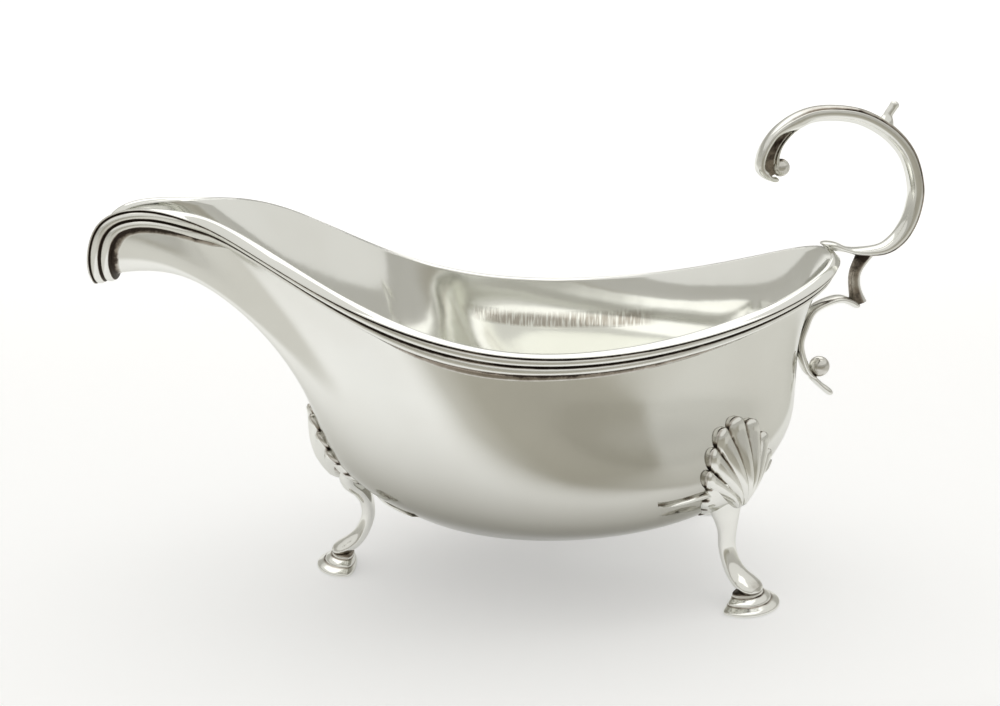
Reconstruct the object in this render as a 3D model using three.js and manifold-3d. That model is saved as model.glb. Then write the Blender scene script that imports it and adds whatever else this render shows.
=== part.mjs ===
// Silver sauce boat on three shell-kneed legs, with a flying scroll handle.
// Millimetres, +Z up. The table is at z = 0, the lip points along -X and the handle along +X.
// The boat is the same on both sides of the plane y = 0.
import * as THREE from 'three';
import { NURBSSurface } from 'three/addons/curves/NURBSSurface.js';
import { mergeVertices } from 'three/addons/utils/BufferGeometryUtils.js';
import Module from 'manifold-3d';

const wasm = await Module();
wasm.setup();

// Driving dimensions

// Space left for solder between two pieces that touch
const solderGap = 0.3;

// The hull is raised from one sheet
const wall = 1;

// Oval rows of the lower hull, from the bottom up: where each begins and ends along X,
// its half breadth, its height at the front, side and rear, and how full its nose is
const bottomRow = { front: -12, rear: 30, breadth: 15, zFront: 9.2, zSide: 9.2, zRear: 9.2, nose: 1 };
const bilgeRow = { front: -25, rear: 54.2, breadth: 32.5, zFront: 16.8, zSide: 16.8, zRear: 16.8, nose: 1 };
const bellyRow = { front: -40.5, rear: 62.2, breadth: 41.7, zFront: 27.2, zSide: 20.7, zRear: 28.3, nose: 1 };

// Free rows of the upper hull, from the lip round to the back: along X, half breadth, height
const waistRow = {
  lip: [-43.3, 8.5, 52.6],
  lipShoulder: [-42.3, 19.2, 47.4],
  spoutTop: [-29.9, 29.6, 40],
  spoutRoot: [-12.4, 43.8, 38.3],
  side: [16.6, 45.4, 33.3],
  quarter: [49.6, 28.6, 38.7],
  back: [68, 13.2, 35.4],
};
const neckRow = {
  lip: [-65, 9.2, 72.8],
  lipShoulder: [-62.2, 14.6, 70.7],
  spoutTop: [-43.6, 19.8, 61.5],
  spoutRoot: [-28.7, 40.8, 58.6],
  side: [4.4, 46.1, 44.9],
  quarter: [47.2, 25.1, 53.3],
  back: [65, 11.1, 55.4],
};
const rimRow = {
  lip: [-87.2, 7.1, 67.2],
  lipShoulder: [-88.2, 7.4, 84.5],
  spoutTop: [-63.8, 7.9, 82.6],
  spoutRoot: [-50.3, 37, 79.3],
  side: [-6.6, 48.7, 53.6],
  quarter: [58.2, 26.8, 61.9],
  back: [74, 11.7, 71],
};

// Reeded wire that stiffens the rim: three reeds, the top one the broadest
const rimWire = { heightAtLip: 5.2, heightAtSide: 4, seat: 0.45, web: 0.45, crest: 0.95 };
const reedShares = [0.4, 0.3, 0.3];

// Main scroll of the handle: an egg-shaped course, as degrees and shares of the radius, that
// thickens before it curls round its bud
const scroll = { centreX: 75.6, centreZ: 84.7, radius: 17, thickness: 3.7, swell: 1.1, width: 5.2 };
const scrollCourse = [
  [-53, 1.01], [-41, 1.045], [-28, 1.04], [-14, 1.02], [0, 1], [25, 0.96], [48, 0.93], [74, 0.935],
  [94, 0.967], [114, 1.04], [126, 1.073], [138, 1.088], [149, 1.091],
];
const scrollCurl = { centreX: 61.75, centreZ: 89.3, radius: 3.2, thickness: 1.3 };
const curlCourse = [[152, 1.26], [184, 1.28], [209, 1.14], [232, 0.98], [260, 0.83]];
const scrollRoot = { lapInside: 1.4, thickness: 1.3, width: 5.5 };
const rootCourse = [[0.6, -0.3], [3.3, -1.4], [6.5, -1.95]];
const scrollBudRadius = 2;

const thumbRest = { angle: 59, lean: 18, length: 6.6, width: 2.6, thickness: 1.9 };

// Lower part of the handle
const strut = { topX: 82, waistX: 79.9, footX: 80.9, width: 3.4, thickness: 2.5, flare: 0.6 };
const lowerScroll = { tipX: 81.3, tipZ: 57.9, crownX: 76.3, crownZ: 59.8, width: 4.2, thickness: 1.6 };
const lowerSeat = { shoulderZ: 57.3, shoulderStand: 2.5, topZ: 53.4, topStand: 1.6, bottomZ: 49.5, bottomStand: 1.3 };
const lowerCurl = { z: 44.2, stand: 3.2, radius: 3.3, thin: 0.5 };
const lowerCurlCourse = [[176, 1.05], [205, 0.87], [232, 0.8], [256, 0.78]];
const lowerBudRadius = 2.2;
const tailLeaf = { length: 7.8, slope: -37, width: 2.8, thickness: 1.3 };
const dropLeaf = { top: 47.5, length: 9.5, width: 4.2, stand: 0.9, root: 1.5 };

// Legs: where each foot stands, which way the leg faces and its shell leans, in degrees from +X and
// from upright, and how the knee, the shell's root and the tongues meet the hull
const frontFoot = {
  x: -37.1, y: 0, facing: 180, shellLean: 0, kneeOut: -3.4, shellStand: 6.7, tongueRise: -2,
};
const rearFoot = {
  x: 51.2, y: 31.4, facing: 46, shellLean: 3, kneeOut: -7.8, shellStand: 4.8, tongueRise: 5,
};
const foot = { length: 8.7, front: 6.2, width: 15.6, height: 3.3, backSet: 1.5 };
const ankle = { length: 5.2, width: 7.4, toeRadius: 1.2, toeReach: -0.4, height: 4 };
const shank = { thickness: 3, width: 4.9, backSet: 7.2, height: 11.5 };
const knee = { height: 20.6, width: 9.4, depth: 5.2, above: 8, below: 4.6, wing: 12.8, lean: 0.45 };

// Scallop shell on the front of each knee
const shell = {
  length: 20.6, spread: 60, ribs: 7, edge: 0.6, ribHeight: 0.75, sideShare: 0.66, root: 1.6,
};

// Pointed tongues that reach from each knee along the hull
const tongue = { start: 6, length: 15, width: 2, stand: 1, root: 1.2 };

// Mesh fineness: crowding is how many millimetres of rim count as much as a bend of one radian
const cutTolerance = 0.02;
const hullSegments = 60;
const crowding = 22;
const hullLevels = 18;
const edgeLevels = [0.965, 0.985];
const liningLevels = 10;
const scrollSteps = 44;
const lowerScrollSteps = 26;
const sectionSides = 10;

const silver = { color: 0xd2d3cb, roughness: 0.2, metalness: 1 };

// Curves and surfaces

function clampedKnots(count) {
  const spans = count - 3;
  const inner = Array.from({ length: spans + 1 }, (_, i) => i / spans);
  return [0, 0, 0, ...inner, 1, 1, 1];
}

// Poles of a half ellipse, as shares of its length and of its half breadth
const ellipseStations = [0, 0, 0.05, 0.18, 0.38, 0.64, 0.89, 1, 1];
const ellipseBreadths = [0, 0.19, 0.5, 0.8, 1.01, 1.01, 0.72, 0.28, 0];
const noseInfluence = [0, 1, 1, 0.5, 0, 0, 0, 0, 0];

function ovalRow(row) {
  return ellipseStations.map((station, i) => {
    const side = 1 - 2 * station;
    const endHeight = side > 0 ? row.zFront : row.zRear;
    const height = row.zSide + (endHeight - row.zSide) * Math.abs(side) ** 1.5;
    const fullness = 1 + (row.nose - 1) * noseInfluence[i];
    const x = row.front + (row.rear - row.front) * station;
    return new THREE.Vector3(x, row.breadth * ellipseBreadths[i] * fullness, height);
  });
}

// The end poles are doubled on the plane y = 0, which keeps the hull smooth across it
function freeRow(row) {
  const poles = Object.values(row).map((p) => new THREE.Vector3(...p));
  const tip = poles[0].clone().setY(0);
  const back = poles[poles.length - 1].clone().setY(0);
  return [tip, ...poles, back];
}

function hullNet() {
  const bottomCentre = (bottomRow.front + bottomRow.rear) / 2;
  const pole = ovalRow(bottomRow).map(() => new THREE.Vector3(bottomCentre, 0, bottomRow.zSide));
  return [pole, ...[bottomRow, bilgeRow, bellyRow].map(ovalRow), ...[waistRow, neckRow, rimRow].map(freeRow)];
}

const net = hullNet();
const halfHull = new NURBSSurface(3, 3, clampedKnots(net.length), clampedKnots(net[0].length), net);

// Point on the outside of the hull. turn runs once round from the lip, level from the bottom to the rim.
function skinPoint(turn, level) {
  const wrapped = turn - Math.floor(turn);
  const along = wrapped < 0.5 ? 2 * wrapped : 2 - 2 * wrapped;
  const point = new THREE.Vector3();
  halfHull.getPoint(level, along, point);
  point.y *= wrapped < 0.5 ? -1 : 1;
  return point;
}

const tiny = 1e-4;

function skinFrame(turn, level) {
  const high = Math.min(1, level + tiny);
  const low = high - 2 * tiny;
  const alongTurn = skinPoint(turn + tiny, level).sub(skinPoint(turn - tiny, level)).divideScalar(2 * tiny);
  const alongLevel = skinPoint(turn, high).sub(skinPoint(turn, low)).divideScalar(2 * tiny);
  const normal = alongTurn.clone().cross(alongLevel).normalize();
  return { point: skinPoint(turn, level), alongTurn, alongLevel, normal };
}

function skinOffset(turn, level, offset) {
  const { point, normal } = skinFrame(turn, level);
  return point.addScaledVector(normal, offset);
}

// Rings of points that share a count are skinned, and both ends are closed by a fan
function loft(rings) {
  const sides = rings[0].length;
  const points = rings.flat();
  const index = [];
  for (let r = 0; r < rings.length - 1; r += 1) {
    for (let s = 0; s < sides; s += 1) {
      const a = r * sides + s;
      const b = r * sides + ((s + 1) % sides);
      index.push(a, b, b + sides, a, b + sides, a + sides);
    }
  }
  closeEnd(points, index, rings[0], 0, true);
  closeEnd(points, index, rings[rings.length - 1], (rings.length - 1) * sides, false);
  return facingOut(points, index);
}

function closeEnd(points, index, ring, first, atStart) {
  const centre = new THREE.Vector3();
  ring.forEach((p) => centre.addScaledVector(p, 1 / ring.length));
  const hub = points.push(centre) - 1;
  for (let s = 0; s < ring.length; s += 1) {
    const here = first + s;
    const next = first + ((s + 1) % ring.length);
    index.push(...(atStart ? [hub, next, here] : [hub, here, next]));
  }
}

// Rings joined into a closed loop, with no ends
function loop(rings) {
  const sides = rings[0].length;
  const index = [];
  rings.forEach((_, r) => {
    const next = (r + 1) % rings.length;
    for (let s = 0; s < sides; s += 1) {
      const t = (s + 1) % sides;
      index.push(r * sides + s, r * sides + t, next * sides + t);
      index.push(r * sides + s, next * sides + t, next * sides + s);
    }
  });
  return facingOut(rings.flat(), index);
}

function facingOut(points, index) {
  let volume = 0;
  for (let i = 0; i < index.length; i += 3) {
    const [a, b, c] = [points[index[i]], points[index[i + 1]], points[index[i + 2]]];
    volume += a.dot(b.clone().cross(c));
  }
  if (volume < 0) index.reverse();
  const geometry = new THREE.BufferGeometry();
  geometry.setAttribute('position', new THREE.Float32BufferAttribute(points.flatMap((p) => [p.x, p.y, p.z]), 3));
  geometry.setIndex(index);
  return geometry;
}

// Solids for cutting and joining

function welded(geometry) {
  const bare = geometry.clone();
  bare.deleteAttribute('normal');
  bare.deleteAttribute('uv');
  return mergeVertices(bare, 1e-5);
}

function solid(geometry) {
  const merged = welded(geometry);
  return new wasm.Manifold(new wasm.Mesh({
    numProp: 3,
    vertProperties: new Float32Array(merged.attributes.position.array),
    triVerts: new Uint32Array(merged.index.array),
  }));
}

// The same solid with its faces moved out by the solder gap: what is soldered to it is cut by this
function roomAround(geometry) {
  const merged = welded(geometry);
  const { position } = merged.attributes;
  const facesAround = Array.from({ length: position.count }, () => []);
  for (let i = 0; i < merged.index.count; i += 3) {
    const corners = [0, 1, 2].map((k) => merged.index.getX(i + k));
    const [a, b, c] = corners.map((k) => new THREE.Vector3().fromBufferAttribute(position, k));
    const normal = new THREE.Triangle(a, b, c).getNormal(new THREE.Vector3());
    corners.forEach((k) => facesAround[k].push(normal));
  }
  facesAround.forEach((normals, i) => {
    const mean = normals.reduce((sum, n) => sum.add(n), new THREE.Vector3()).normalize();
    const flattest = Math.min(...normals.map((n) => n.dot(mean)));
    const moved = mean.multiplyScalar(solderGap / Math.max(0.5, flattest));
    position.setXYZ(i, position.getX(i) + moved.x, position.getY(i) + moved.y, position.getZ(i) + moved.z);
  });
  return solid(merged);
}

// A cut can leave loose crumbs beside the piece, so the largest body is kept
function geometryOf(manifold) {
  const bodies = manifold.decompose();
  const largest = bodies.reduce((a, b) => (b.volume() > a.volume() ? b : a));
  const mesh = largest.simplify(cutTolerance).getMesh();
  const geometry = new THREE.BufferGeometry();
  geometry.setAttribute('position', new THREE.Float32BufferAttribute(mesh.vertProperties, 3));
  geometry.setIndex(Array.from(mesh.triVerts));
  return geometry;
}

// Filled hull, grown by the solder gap: what is soldered to the hull is cut by it
function hullSpace() {
  return solid(loft(crowdedLevels(hullLevels).map((level) => hullRing(level, solderGap))));
}

// Turns of the rings' points, spread so that they crowd where the rim bends
function crowdedTurns(count) {
  const fine = 1440;
  const steps = Array.from({ length: fine }, (_, i) => skinPoint((i + 1) / fine, 1).sub(skinPoint(i / fine, 1)));
  const walked = [0];
  steps.forEach((step, i) => {
    const bend = step.angleTo(steps[(i + 1) % fine]) / 2 + step.angleTo(steps[(i + fine - 1) % fine]) / 2;
    walked.push(walked[i] + step.length() + crowding * bend);
  });
  return Array.from({ length: count }, (_, i) => {
    const goal = (walked[fine] * i) / count;
    const next = Math.max(1, walked.findIndex((w) => w > goal));
    return (next - 1 + (goal - walked[next - 1]) / (walked[next] - walked[next - 1])) / fine;
  });
}

const turns = crowdedTurns(hullSegments);

// Levels of the hull's rings, with three close together at the rim, where the lip droops
function crowdedLevels(count) {
  const even = Array.from({ length: count - 2 }, (_, i) => ((i + 0.4) / (count - 2.6)) ** 0.87);
  return [...even.slice(0, -1), ...edgeLevels, 1];
}

function hullRing(level, offset) {
  return turns.map((turn) => skinOffset(turn, level, offset));
}

// Bowl

function bowlGeometry() {
  const outside = crowdedLevels(hullLevels).map((level) => hullRing(level, 0));
  const inside = crowdedLevels(liningLevels).map((level) => hullRing(level, -wall));
  return loft([...outside, ...inside.reverse()]);
}

// Reeded rim wire

function wireHeight(turn) {
  const towardsLip = Math.max(0, Math.cos(2 * Math.PI * turn));
  return rimWire.heightAtSide + (rimWire.heightAtLip - rimWire.heightAtSide) * towardsLip;
}

// Depth below the edge and stand-off from the hull, down the reeds, as shares of the wire's height
function reedProfile() {
  const profile = [];
  let top = 0;
  reedShares.forEach((share) => {
    [0, 0.22, 0.78].forEach((f) => {
      const bulge = Math.sqrt(Math.sin(Math.PI * f)) * rimWire.crest * (share / reedShares[0]) ** 0.5;
      profile.push({ depth: top + f * share, out: rimWire.web + bulge });
    });
    top += share;
  });
  profile.push({ depth: 1, out: rimWire.web });
  return profile;
}

// Frames down the hull from the edge, at depths that are measured square to the rim
function framesBelowEdge(turn, depths) {
  const along = skinFrame(turn, 1).alongTurn.normalize();
  let level = 1;
  let walked = 0;
  return depths.map((depth) => {
    const steps = Math.ceil((depth - walked) / 0.4);
    for (let i = 0; i < steps; i += 1) {
      const { alongLevel } = skinFrame(turn, level);
      const square = alongLevel.addScaledVector(along, -alongLevel.dot(along));
      level -= (depth - walked) / steps / square.length();
    }
    walked = Math.max(walked, depth);
    return skinFrame(turn, level);
  });
}

function rimWireSection(turn) {
  const height = wireHeight(turn);
  const profile = reedProfile();
  const frames = framesBelowEdge(turn, profile.map(({ depth }) => depth * height));
  const outer = frames.map(({ point, normal }, i) => (
    point.clone().addScaledVector(normal, rimWire.seat + profile[i].out)));
  const back = [frames.length - 1, Math.floor(frames.length / 2), 0].map((i) => (
    frames[i].point.clone().addScaledVector(frames[i].normal, rimWire.seat)));
  return [...outer, ...back];
}

function rimWireGeometry() {
  return loop(turns.map(rimWireSection));
}

// Tapered sweeps in an upright plane

// Section with a round outer half and a narrower, flatter inner half, which leaves an edge down each side
function keeledSection(width, thickness) {
  return Array.from({ length: sectionSides }, (_, i) => {
    const angle = (2 * Math.PI * (i + 0.5)) / sectionSides;
    const inner = Math.sin(angle) < 0;
    const across = (Math.cos(angle) * width * (inner ? 0.86 : 1)) / 2;
    const out = (Math.sin(angle) * thickness * (inner ? 0.9 : 1)) / 2;
    return [across, out];
  });
}

// Carries a section along a curve in the plane y = 0. size gives width and thickness at a share of the way.
function sweep(curve, steps, size) {
  const across = new THREE.Vector3(0, 1, 0);
  const rings = Array.from({ length: steps + 1 }, (_, i) => {
    const share = i / steps;
    const centre = curve.getPoint(share);
    const out = curve.getTangent(share).cross(across).normalize();
    const { width, thickness } = size(share);
    return keeledSection(width, thickness).map(([a, o]) => (
      centre.clone().addScaledVector(across, a).addScaledVector(out, o)));
  });
  return loft(rings);
}

function curveThrough(points) {
  return new THREE.CatmullRomCurve3(points.map(([x, z]) => new THREE.Vector3(x, 0, z)), false, 'centripetal');
}

function between(low, high, share) {
  return low + (high - low) * THREE.MathUtils.smoothstep(share, 0, 1);
}

// Rounds the ends of a sweep over a share of its length
function endTaper(share, length) {
  const start = Math.min(1, share / length);
  const end = Math.min(1, (1 - share) / length);
  return Math.sqrt(Math.max(0.12, start * (2 - start))) * Math.sqrt(Math.max(0.12, end * (2 - end)));
}

// Handle

function around([x, z], radius, degrees) {
  const angle = THREE.MathUtils.degToRad(degrees);
  return [x + radius * Math.cos(angle), z + radius * Math.sin(angle)];
}

// Point of the main scroll's centre line
function scrollPoint(degrees) {
  const next = Math.max(1, scrollCourse.findIndex(([angle]) => angle >= degrees));
  const [[fromAngle, fromShare], [toAngle, toShare]] = [scrollCourse[next - 1], scrollCourse[next]];
  const share = THREE.MathUtils.lerp(fromShare, toShare, (degrees - fromAngle) / (toAngle - fromAngle));
  return around([scroll.centreX, scroll.centreZ], scroll.radius * share, degrees);
}

const rimBack = skinPoint(0.5, 1);
const rimBackTop = Math.max(rimBack.z, skinOffset(0.5, 1, -wall).z);
const rootHeight = rimBackTop + solderGap + scrollRoot.thickness / 2;
const rootX = rimBack.x - wall - scrollRoot.lapInside;

const curlCentre = [scrollCurl.centreX, scrollCurl.centreZ];

function scrollCurve() {
  const root = rootCourse.map(([along, up]) => [rimBack.x + along, rootHeight + up]);
  const arc = scrollCourse.map(([degrees]) => scrollPoint(degrees));
  const curl = curlCourse.map(([degrees, share]) => around(curlCentre, scrollCurl.radius * share, degrees));
  return curveThrough([[rootX, rootHeight], ...root, ...arc, ...curl]);
}

function scrollSize(share) {
  const rise = THREE.MathUtils.smoothstep(share, 0.07, 0.27);
  const swell = scroll.swell * THREE.MathUtils.smoothstep(share, 0.62, 0.76);
  const curl = THREE.MathUtils.smoothstep(share, 0.77, 0.95);
  const body = scrollRoot.thickness + (scroll.thickness - scrollRoot.thickness) * rise + swell;
  const thickness = body + (scrollCurl.thickness - body) * curl;
  const width = between(scrollRoot.width, scroll.width, rise);
  const taper = endTaper(share, 0.03);
  return { width: width * taper, thickness: thickness * taper };
}

function scrollGeometry() {
  return sweep(scrollCurve(), scrollSteps, scrollSize);
}

function bud(x, z, radius) {
  const geometry = new THREE.SphereGeometry(radius, 12, 8);
  geometry.translate(x, 0, z);
  return geometry;
}

function scrollBudGeometry() {
  return bud(...curlCentre, scrollBudRadius);
}

// Short leaf that grows out of a scroll, broad near its tip
function leafSweep(start, degrees, length, width, thickness, bend) {
  const angle = THREE.MathUtils.degToRad(degrees);
  const turned = angle + THREE.MathUtils.degToRad(bend);
  const middle = [start[0] + 0.5 * length * Math.cos(angle), start[1] + 0.5 * length * Math.sin(angle)];
  const end = [middle[0] + 0.5 * length * Math.cos(turned), middle[1] + 0.5 * length * Math.sin(turned)];
  const swell = (share) => {
    const body = 0.7 + 0.3 * Math.sin(Math.PI * share);
    return { width: width * body * endTaper(share, 0.3), thickness: thickness * body * endTaper(share, 0.3) };
  };
  return sweep(curveThrough([start, middle, end]), 10, swell);
}

function thumbRestGeometry() {
  const [x, z] = scrollPoint(thumbRest.angle);
  const rest = leafSweep([x, z], thumbRest.angle + thumbRest.lean, thumbRest.length, thumbRest.width,
    thumbRest.thickness, -2 * thumbRest.lean);
  return rest;
}

// Height of the main scroll's underside at a place along X, near its root
function scrollUnderside(x) {
  const curve = scrollCurve();
  let best = { gap: Infinity, z: 0 };
  for (let share = 0; share < 0.4; share += 0.002) {
    const point = curve.getPoint(share);
    const gap = Math.abs(point.x - x);
    if (gap < best.gap) best = { gap, z: point.z - scrollSize(share).thickness / 2 };
  }
  return best.z;
}

function strutCurve() {
  const top = scrollUnderside(strut.topX) + 1;
  const bottom = (lowerScroll.tipZ + lowerScroll.crownZ) / 2;
  const waist = (top + bottom) / 2;
  return curveThrough([
    [strut.topX, top],
    [strut.waistX, waist + 1.2],
    [strut.waistX, waist - 1.8],
    [strut.footX, bottom],
  ]);
}

function strutGeometry() {
  const size = (share) => {
    const end = 1 + strut.flare * Math.abs(2 * share - 1) ** 3;
    return { width: strut.width * (0.8 + 0.2 * end), thickness: strut.thickness * end };
  };
  return sweep(strutCurve(), 10, size);
}

// Rear profile of the hull at a height
function hullBackX(z) {
  let [low, high] = [0.1, 1];
  for (let i = 0; i < 40; i += 1) {
    const level = (low + high) / 2;
    if (skinPoint(0.5, level).z < z) low = level;
    else high = level;
  }
  return skinPoint(0.5, low).x;
}

const lowerCurlCentre = [hullBackX(lowerCurl.z) + lowerCurl.stand + lowerCurl.radius, lowerCurl.z];

function lowerScrollCurve() {
  const { tipX, tipZ, crownX, crownZ } = lowerScroll;
  const { shoulderZ, shoulderStand, topZ, topStand, bottomZ, bottomStand } = lowerSeat;
  return curveThrough([
    [tipX, tipZ],
    [between(tipX, crownX, 0.5), between(tipZ, crownZ, 0.66)],
    [crownX, crownZ],
    [hullBackX(shoulderZ) + shoulderStand, shoulderZ],
    [hullBackX(topZ) + topStand, topZ],
    [hullBackX(bottomZ) + bottomStand, bottomZ],
    ...lowerCurlCourse.map(([degrees, share]) => around(lowerCurlCentre, lowerCurl.radius * share, degrees)),
  ]);
}

function lowerScrollSize(share) {
  const taper = endTaper(share, 0.05);
  const broad = 1 + 0.2 * Math.sin(Math.PI * share);
  const thin = 1 - (1 - lowerCurl.thin) * THREE.MathUtils.smoothstep(share, 0.7, 1);
  return { width: lowerScroll.width * broad * taper, thickness: lowerScroll.thickness * broad * thin * taper };
}

function lowerScrollGeometry() {
  return sweep(lowerScrollCurve(), lowerScrollSteps, lowerScrollSize);
}

function lowerBudGeometry() {
  return bud(...lowerCurlCentre, lowerBudRadius);
}

// The leaf passes under the lower bud, close against the curl
function tailLeafGeometry() {
  const beside = around(lowerCurlCentre, lowerBudRadius + tailLeaf.thickness / 2, tailLeaf.slope - 90);
  const start = around(beside, 0.1 * tailLeaf.length, tailLeaf.slope + 180);
  return leafSweep(start, tailLeaf.slope, tailLeaf.length, tailLeaf.width, tailLeaf.thickness, 12);
}

// Leaf that lies on the back of the hull below the handle
function dropLeafGeometry() {
  const steps = 8;
  const rings = Array.from({ length: steps + 1 }, (_, i) => {
    const share = i / steps;
    const z = dropLeaf.top - dropLeaf.length * share;
    const half = (dropLeaf.width / 2) * Math.max(0.12, Math.sin(Math.PI * (0.2 + 0.78 * share)) ** 0.8);
    const surface = hullBackX(z);
    const front = [-1, -0.5, 0, 0.5, 1].map((a) => (
      new THREE.Vector3(surface + solderGap + dropLeaf.stand * (1 - 0.6 * a * a), a * half, z)));
    const back = [1, -1].map((a) => new THREE.Vector3(surface - dropLeaf.root, a * half, z));
    return [...front, ...back];
  });
  return loft(rings);
}

// Legs

// Outline of the hull at a height, from the lip round to the back on the -Y side
function hullOutline(z) {
  const outline = [];
  for (let turn = 0; turn <= 0.5001; turn += 0.01) {
    let [low, high] = [0.05, 0.75];
    for (let i = 0; i < 24; i += 1) {
      const level = (low + high) / 2;
      if (skinPoint(turn, level).z < z) low = level;
      else high = level;
    }
    outline.push(skinPoint(turn, low));
  }
  return outline;
}

const outlines = new Map();

function outlineAt(z) {
  const key = Math.round(z * 20) / 20;
  if (!outlines.has(key)) {
    const half = hullOutline(key);
    const mirrored = half.slice(1, -1).reverse().map((p) => new THREE.Vector3(p.x, -p.y, p.z));
    outlines.set(key, [...half, ...mirrored]);
  }
  return outlines.get(key);
}

// How far the hull reaches outwards in a leg's frame, at a height and a distance to the side
function hullReach(place, z, aside) {
  const facing = THREE.MathUtils.degToRad(place.facing);
  const outward = new THREE.Vector3(Math.cos(facing), Math.sin(facing), 0);
  const sideways = new THREE.Vector3(-Math.sin(facing), Math.cos(facing), 0);
  const origin = new THREE.Vector3(place.x, place.y, 0);
  const local = outlineAt(z).map((p) => {
    const from = p.clone().sub(origin);
    return [from.dot(outward), from.dot(sideways)];
  });
  let reach = -Infinity;
  local.forEach(([out, side], i) => {
    const [nextOut, nextSide] = local[(i + 1) % local.length];
    if ((side - aside) * (nextSide - aside) > 0 || side === nextSide) return;
    const share = (aside - side) / (nextSide - side);
    reach = Math.max(reach, out + share * (nextOut - out));
  });
  return reach;
}

function toWorld(place, out, aside, z) {
  const facing = THREE.MathUtils.degToRad(place.facing);
  const x = place.x + out * Math.cos(facing) - aside * Math.sin(facing);
  const y = place.y + out * Math.sin(facing) + aside * Math.cos(facing);
  return new THREE.Vector3(x, y, z);
}

// Outline of the pad at a share of its size: half an oval in front, and a flatter one behind
function padRing(place, shift, size, z) {
  const sides = 14;
  const centre = foot.length / 2 - foot.front + shift;
  return Array.from({ length: sides }, (_, i) => {
    const angle = (2 * Math.PI * i) / sides;
    const reach = Math.cos(angle) > 0 ? foot.front : foot.length - foot.front;
    return toWorld(place, centre + size * reach * Math.cos(angle), (size * foot.width * Math.sin(angle)) / 2, z);
  });
}

// Stepped pad with its back edge upright: height and size of each step, and its shift, as shares
function footGeometry(place) {
  const steps = [
    [0, 0.94, 0], [0.12, 1, 0], [0.32, 0.99, 0.02], [0.46, 0.86, 0.1], [0.5, 0.75, 0.2],
    [0.7, 0.72, 0.22], [0.84, 0.62, 0.3], [0.88, 0.55, 0.35], [1.02, 0.53, 0.4],
  ];
  const rings = steps.map(([rise, size, back]) => (
    padRing(place, -foot.backSet * back, size, foot.height * rise)));
  return loft(rings);
}

function toeGeometry(place) {
  const geometry = new THREE.SphereGeometry(1, 10, 7);
  const out = ankle.toeReach - foot.backSet * 0.5;
  geometry.scale(ankle.length / 2, ankle.width / 2, ankle.toeRadius);
  geometry.rotateZ(THREE.MathUtils.degToRad(place.facing));
  const centre = toWorld(place, out, 0, ankle.height);
  geometry.translate(centre.x, centre.y, centre.z);
  return geometry;
}

// Centre line of a leg as [out, height, thickness, width], from the ankle up into the knee,
// which bends from the shank to the hull
function legStations(place) {
  const { kneeOut } = place;
  const reachAbove = (rise) => hullReach(place, knee.height + rise, 0);
  const wingOut = kneeOut + knee.lean * (reachAbove(0.6 * knee.below) - reachAbove(0));
  const towardsKnee = (share) => THREE.MathUtils.lerp(-shank.backSet, kneeOut, share);
  return [
    [-1.1 * foot.backSet, 0.9 * foot.height, 0.8 * ankle.length, 0.75 * ankle.width],
    [-0.47 * shank.backSet, 1.2 * ankle.height, 1.5 * shank.thickness, 0.74 * ankle.width],
    [-0.78 * shank.backSet, 0.6 * shank.height, 1.05 * shank.thickness, 1.05 * shank.width],
    [-shank.backSet, shank.height, shank.thickness, shank.width],
    [towardsKnee(0.1), knee.height - 1.1 * knee.below, 1.1 * shank.thickness, 0.6 * knee.width],
    [towardsKnee(0.45), knee.height - 0.52 * knee.below, 0.77 * knee.depth, 0.82 * knee.width],
    [kneeOut, knee.height, 0.9 * knee.depth, 1.1 * knee.width],
    [wingOut, knee.height + 0.6 * knee.below, knee.depth, knee.wing],
    [reachAbove(knee.above) - 0.4 * knee.depth, knee.height + knee.above, knee.depth, 0.9 * knee.wing],
  ];
}

function legSweep(place) {
  const stations = legStations(place);
  const path = curveThrough(stations.map(([out, z]) => [out, z]));
  const sizes = new THREE.CatmullRomCurve3(stations.map((s) => new THREE.Vector3(s[2], s[3], 0)), false, 'catmullrom');
  const steps = 17;
  const rings = Array.from({ length: steps + 1 }, (_, i) => {
    const share = i / steps;
    const centre = path.getPoint(share);
    const tangent = path.getTangent(share);
    const size = sizes.getPoint(share);
    return Array.from({ length: sectionSides }, (_, k) => {
      const angle = (2 * Math.PI * k) / sectionSides;
      const across = (size.y / 2) * Math.cos(angle);
      const through = (size.x / 2) * Math.sin(angle);
      return toWorld(place, centre.x + tangent.z * through, across, centre.z - tangent.x * through);
    });
  });
  return loft(rings);
}

function legGeometry(place, space) {
  const body = solid(legSweep(place)).add(solid(footGeometry(place))).add(solid(toeGeometry(place)));
  return geometryOf(body.subtract(space).subtract(roomAround(shellLoft(place))));
}

// Height of the shell's top, so that it covers its own length along the leaning hull
function shellTop(place) {
  const foot0 = hullReach(place, knee.height, 0);
  let top = knee.height;
  let length = 0;
  while (length < shell.length && top < knee.height + shell.length) {
    top += 0.5;
    length = Math.hypot(hullReach(place, top, 0) - foot0, top - knee.height);
  }
  return top;
}

function shellLoft(place) {
  const rise = (shellTop(place) - knee.height) / shell.length;
  const count = shell.ribs * 4;
  const spread = THREE.MathUtils.degToRad(shell.spread);
  const rings = Array.from({ length: count + 1 }, (_, i) => {
    const turn = (2 * i) / count - 1;
    const angle = spread * turn;
    const rib = Math.abs(Math.cos((Math.PI * shell.ribs * turn) / 2 + (shell.ribs % 2 ? 0 : Math.PI / 2)));
    return shellSection(place, angle, rib, rise);
  });
  return loft(rings);
}

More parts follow.
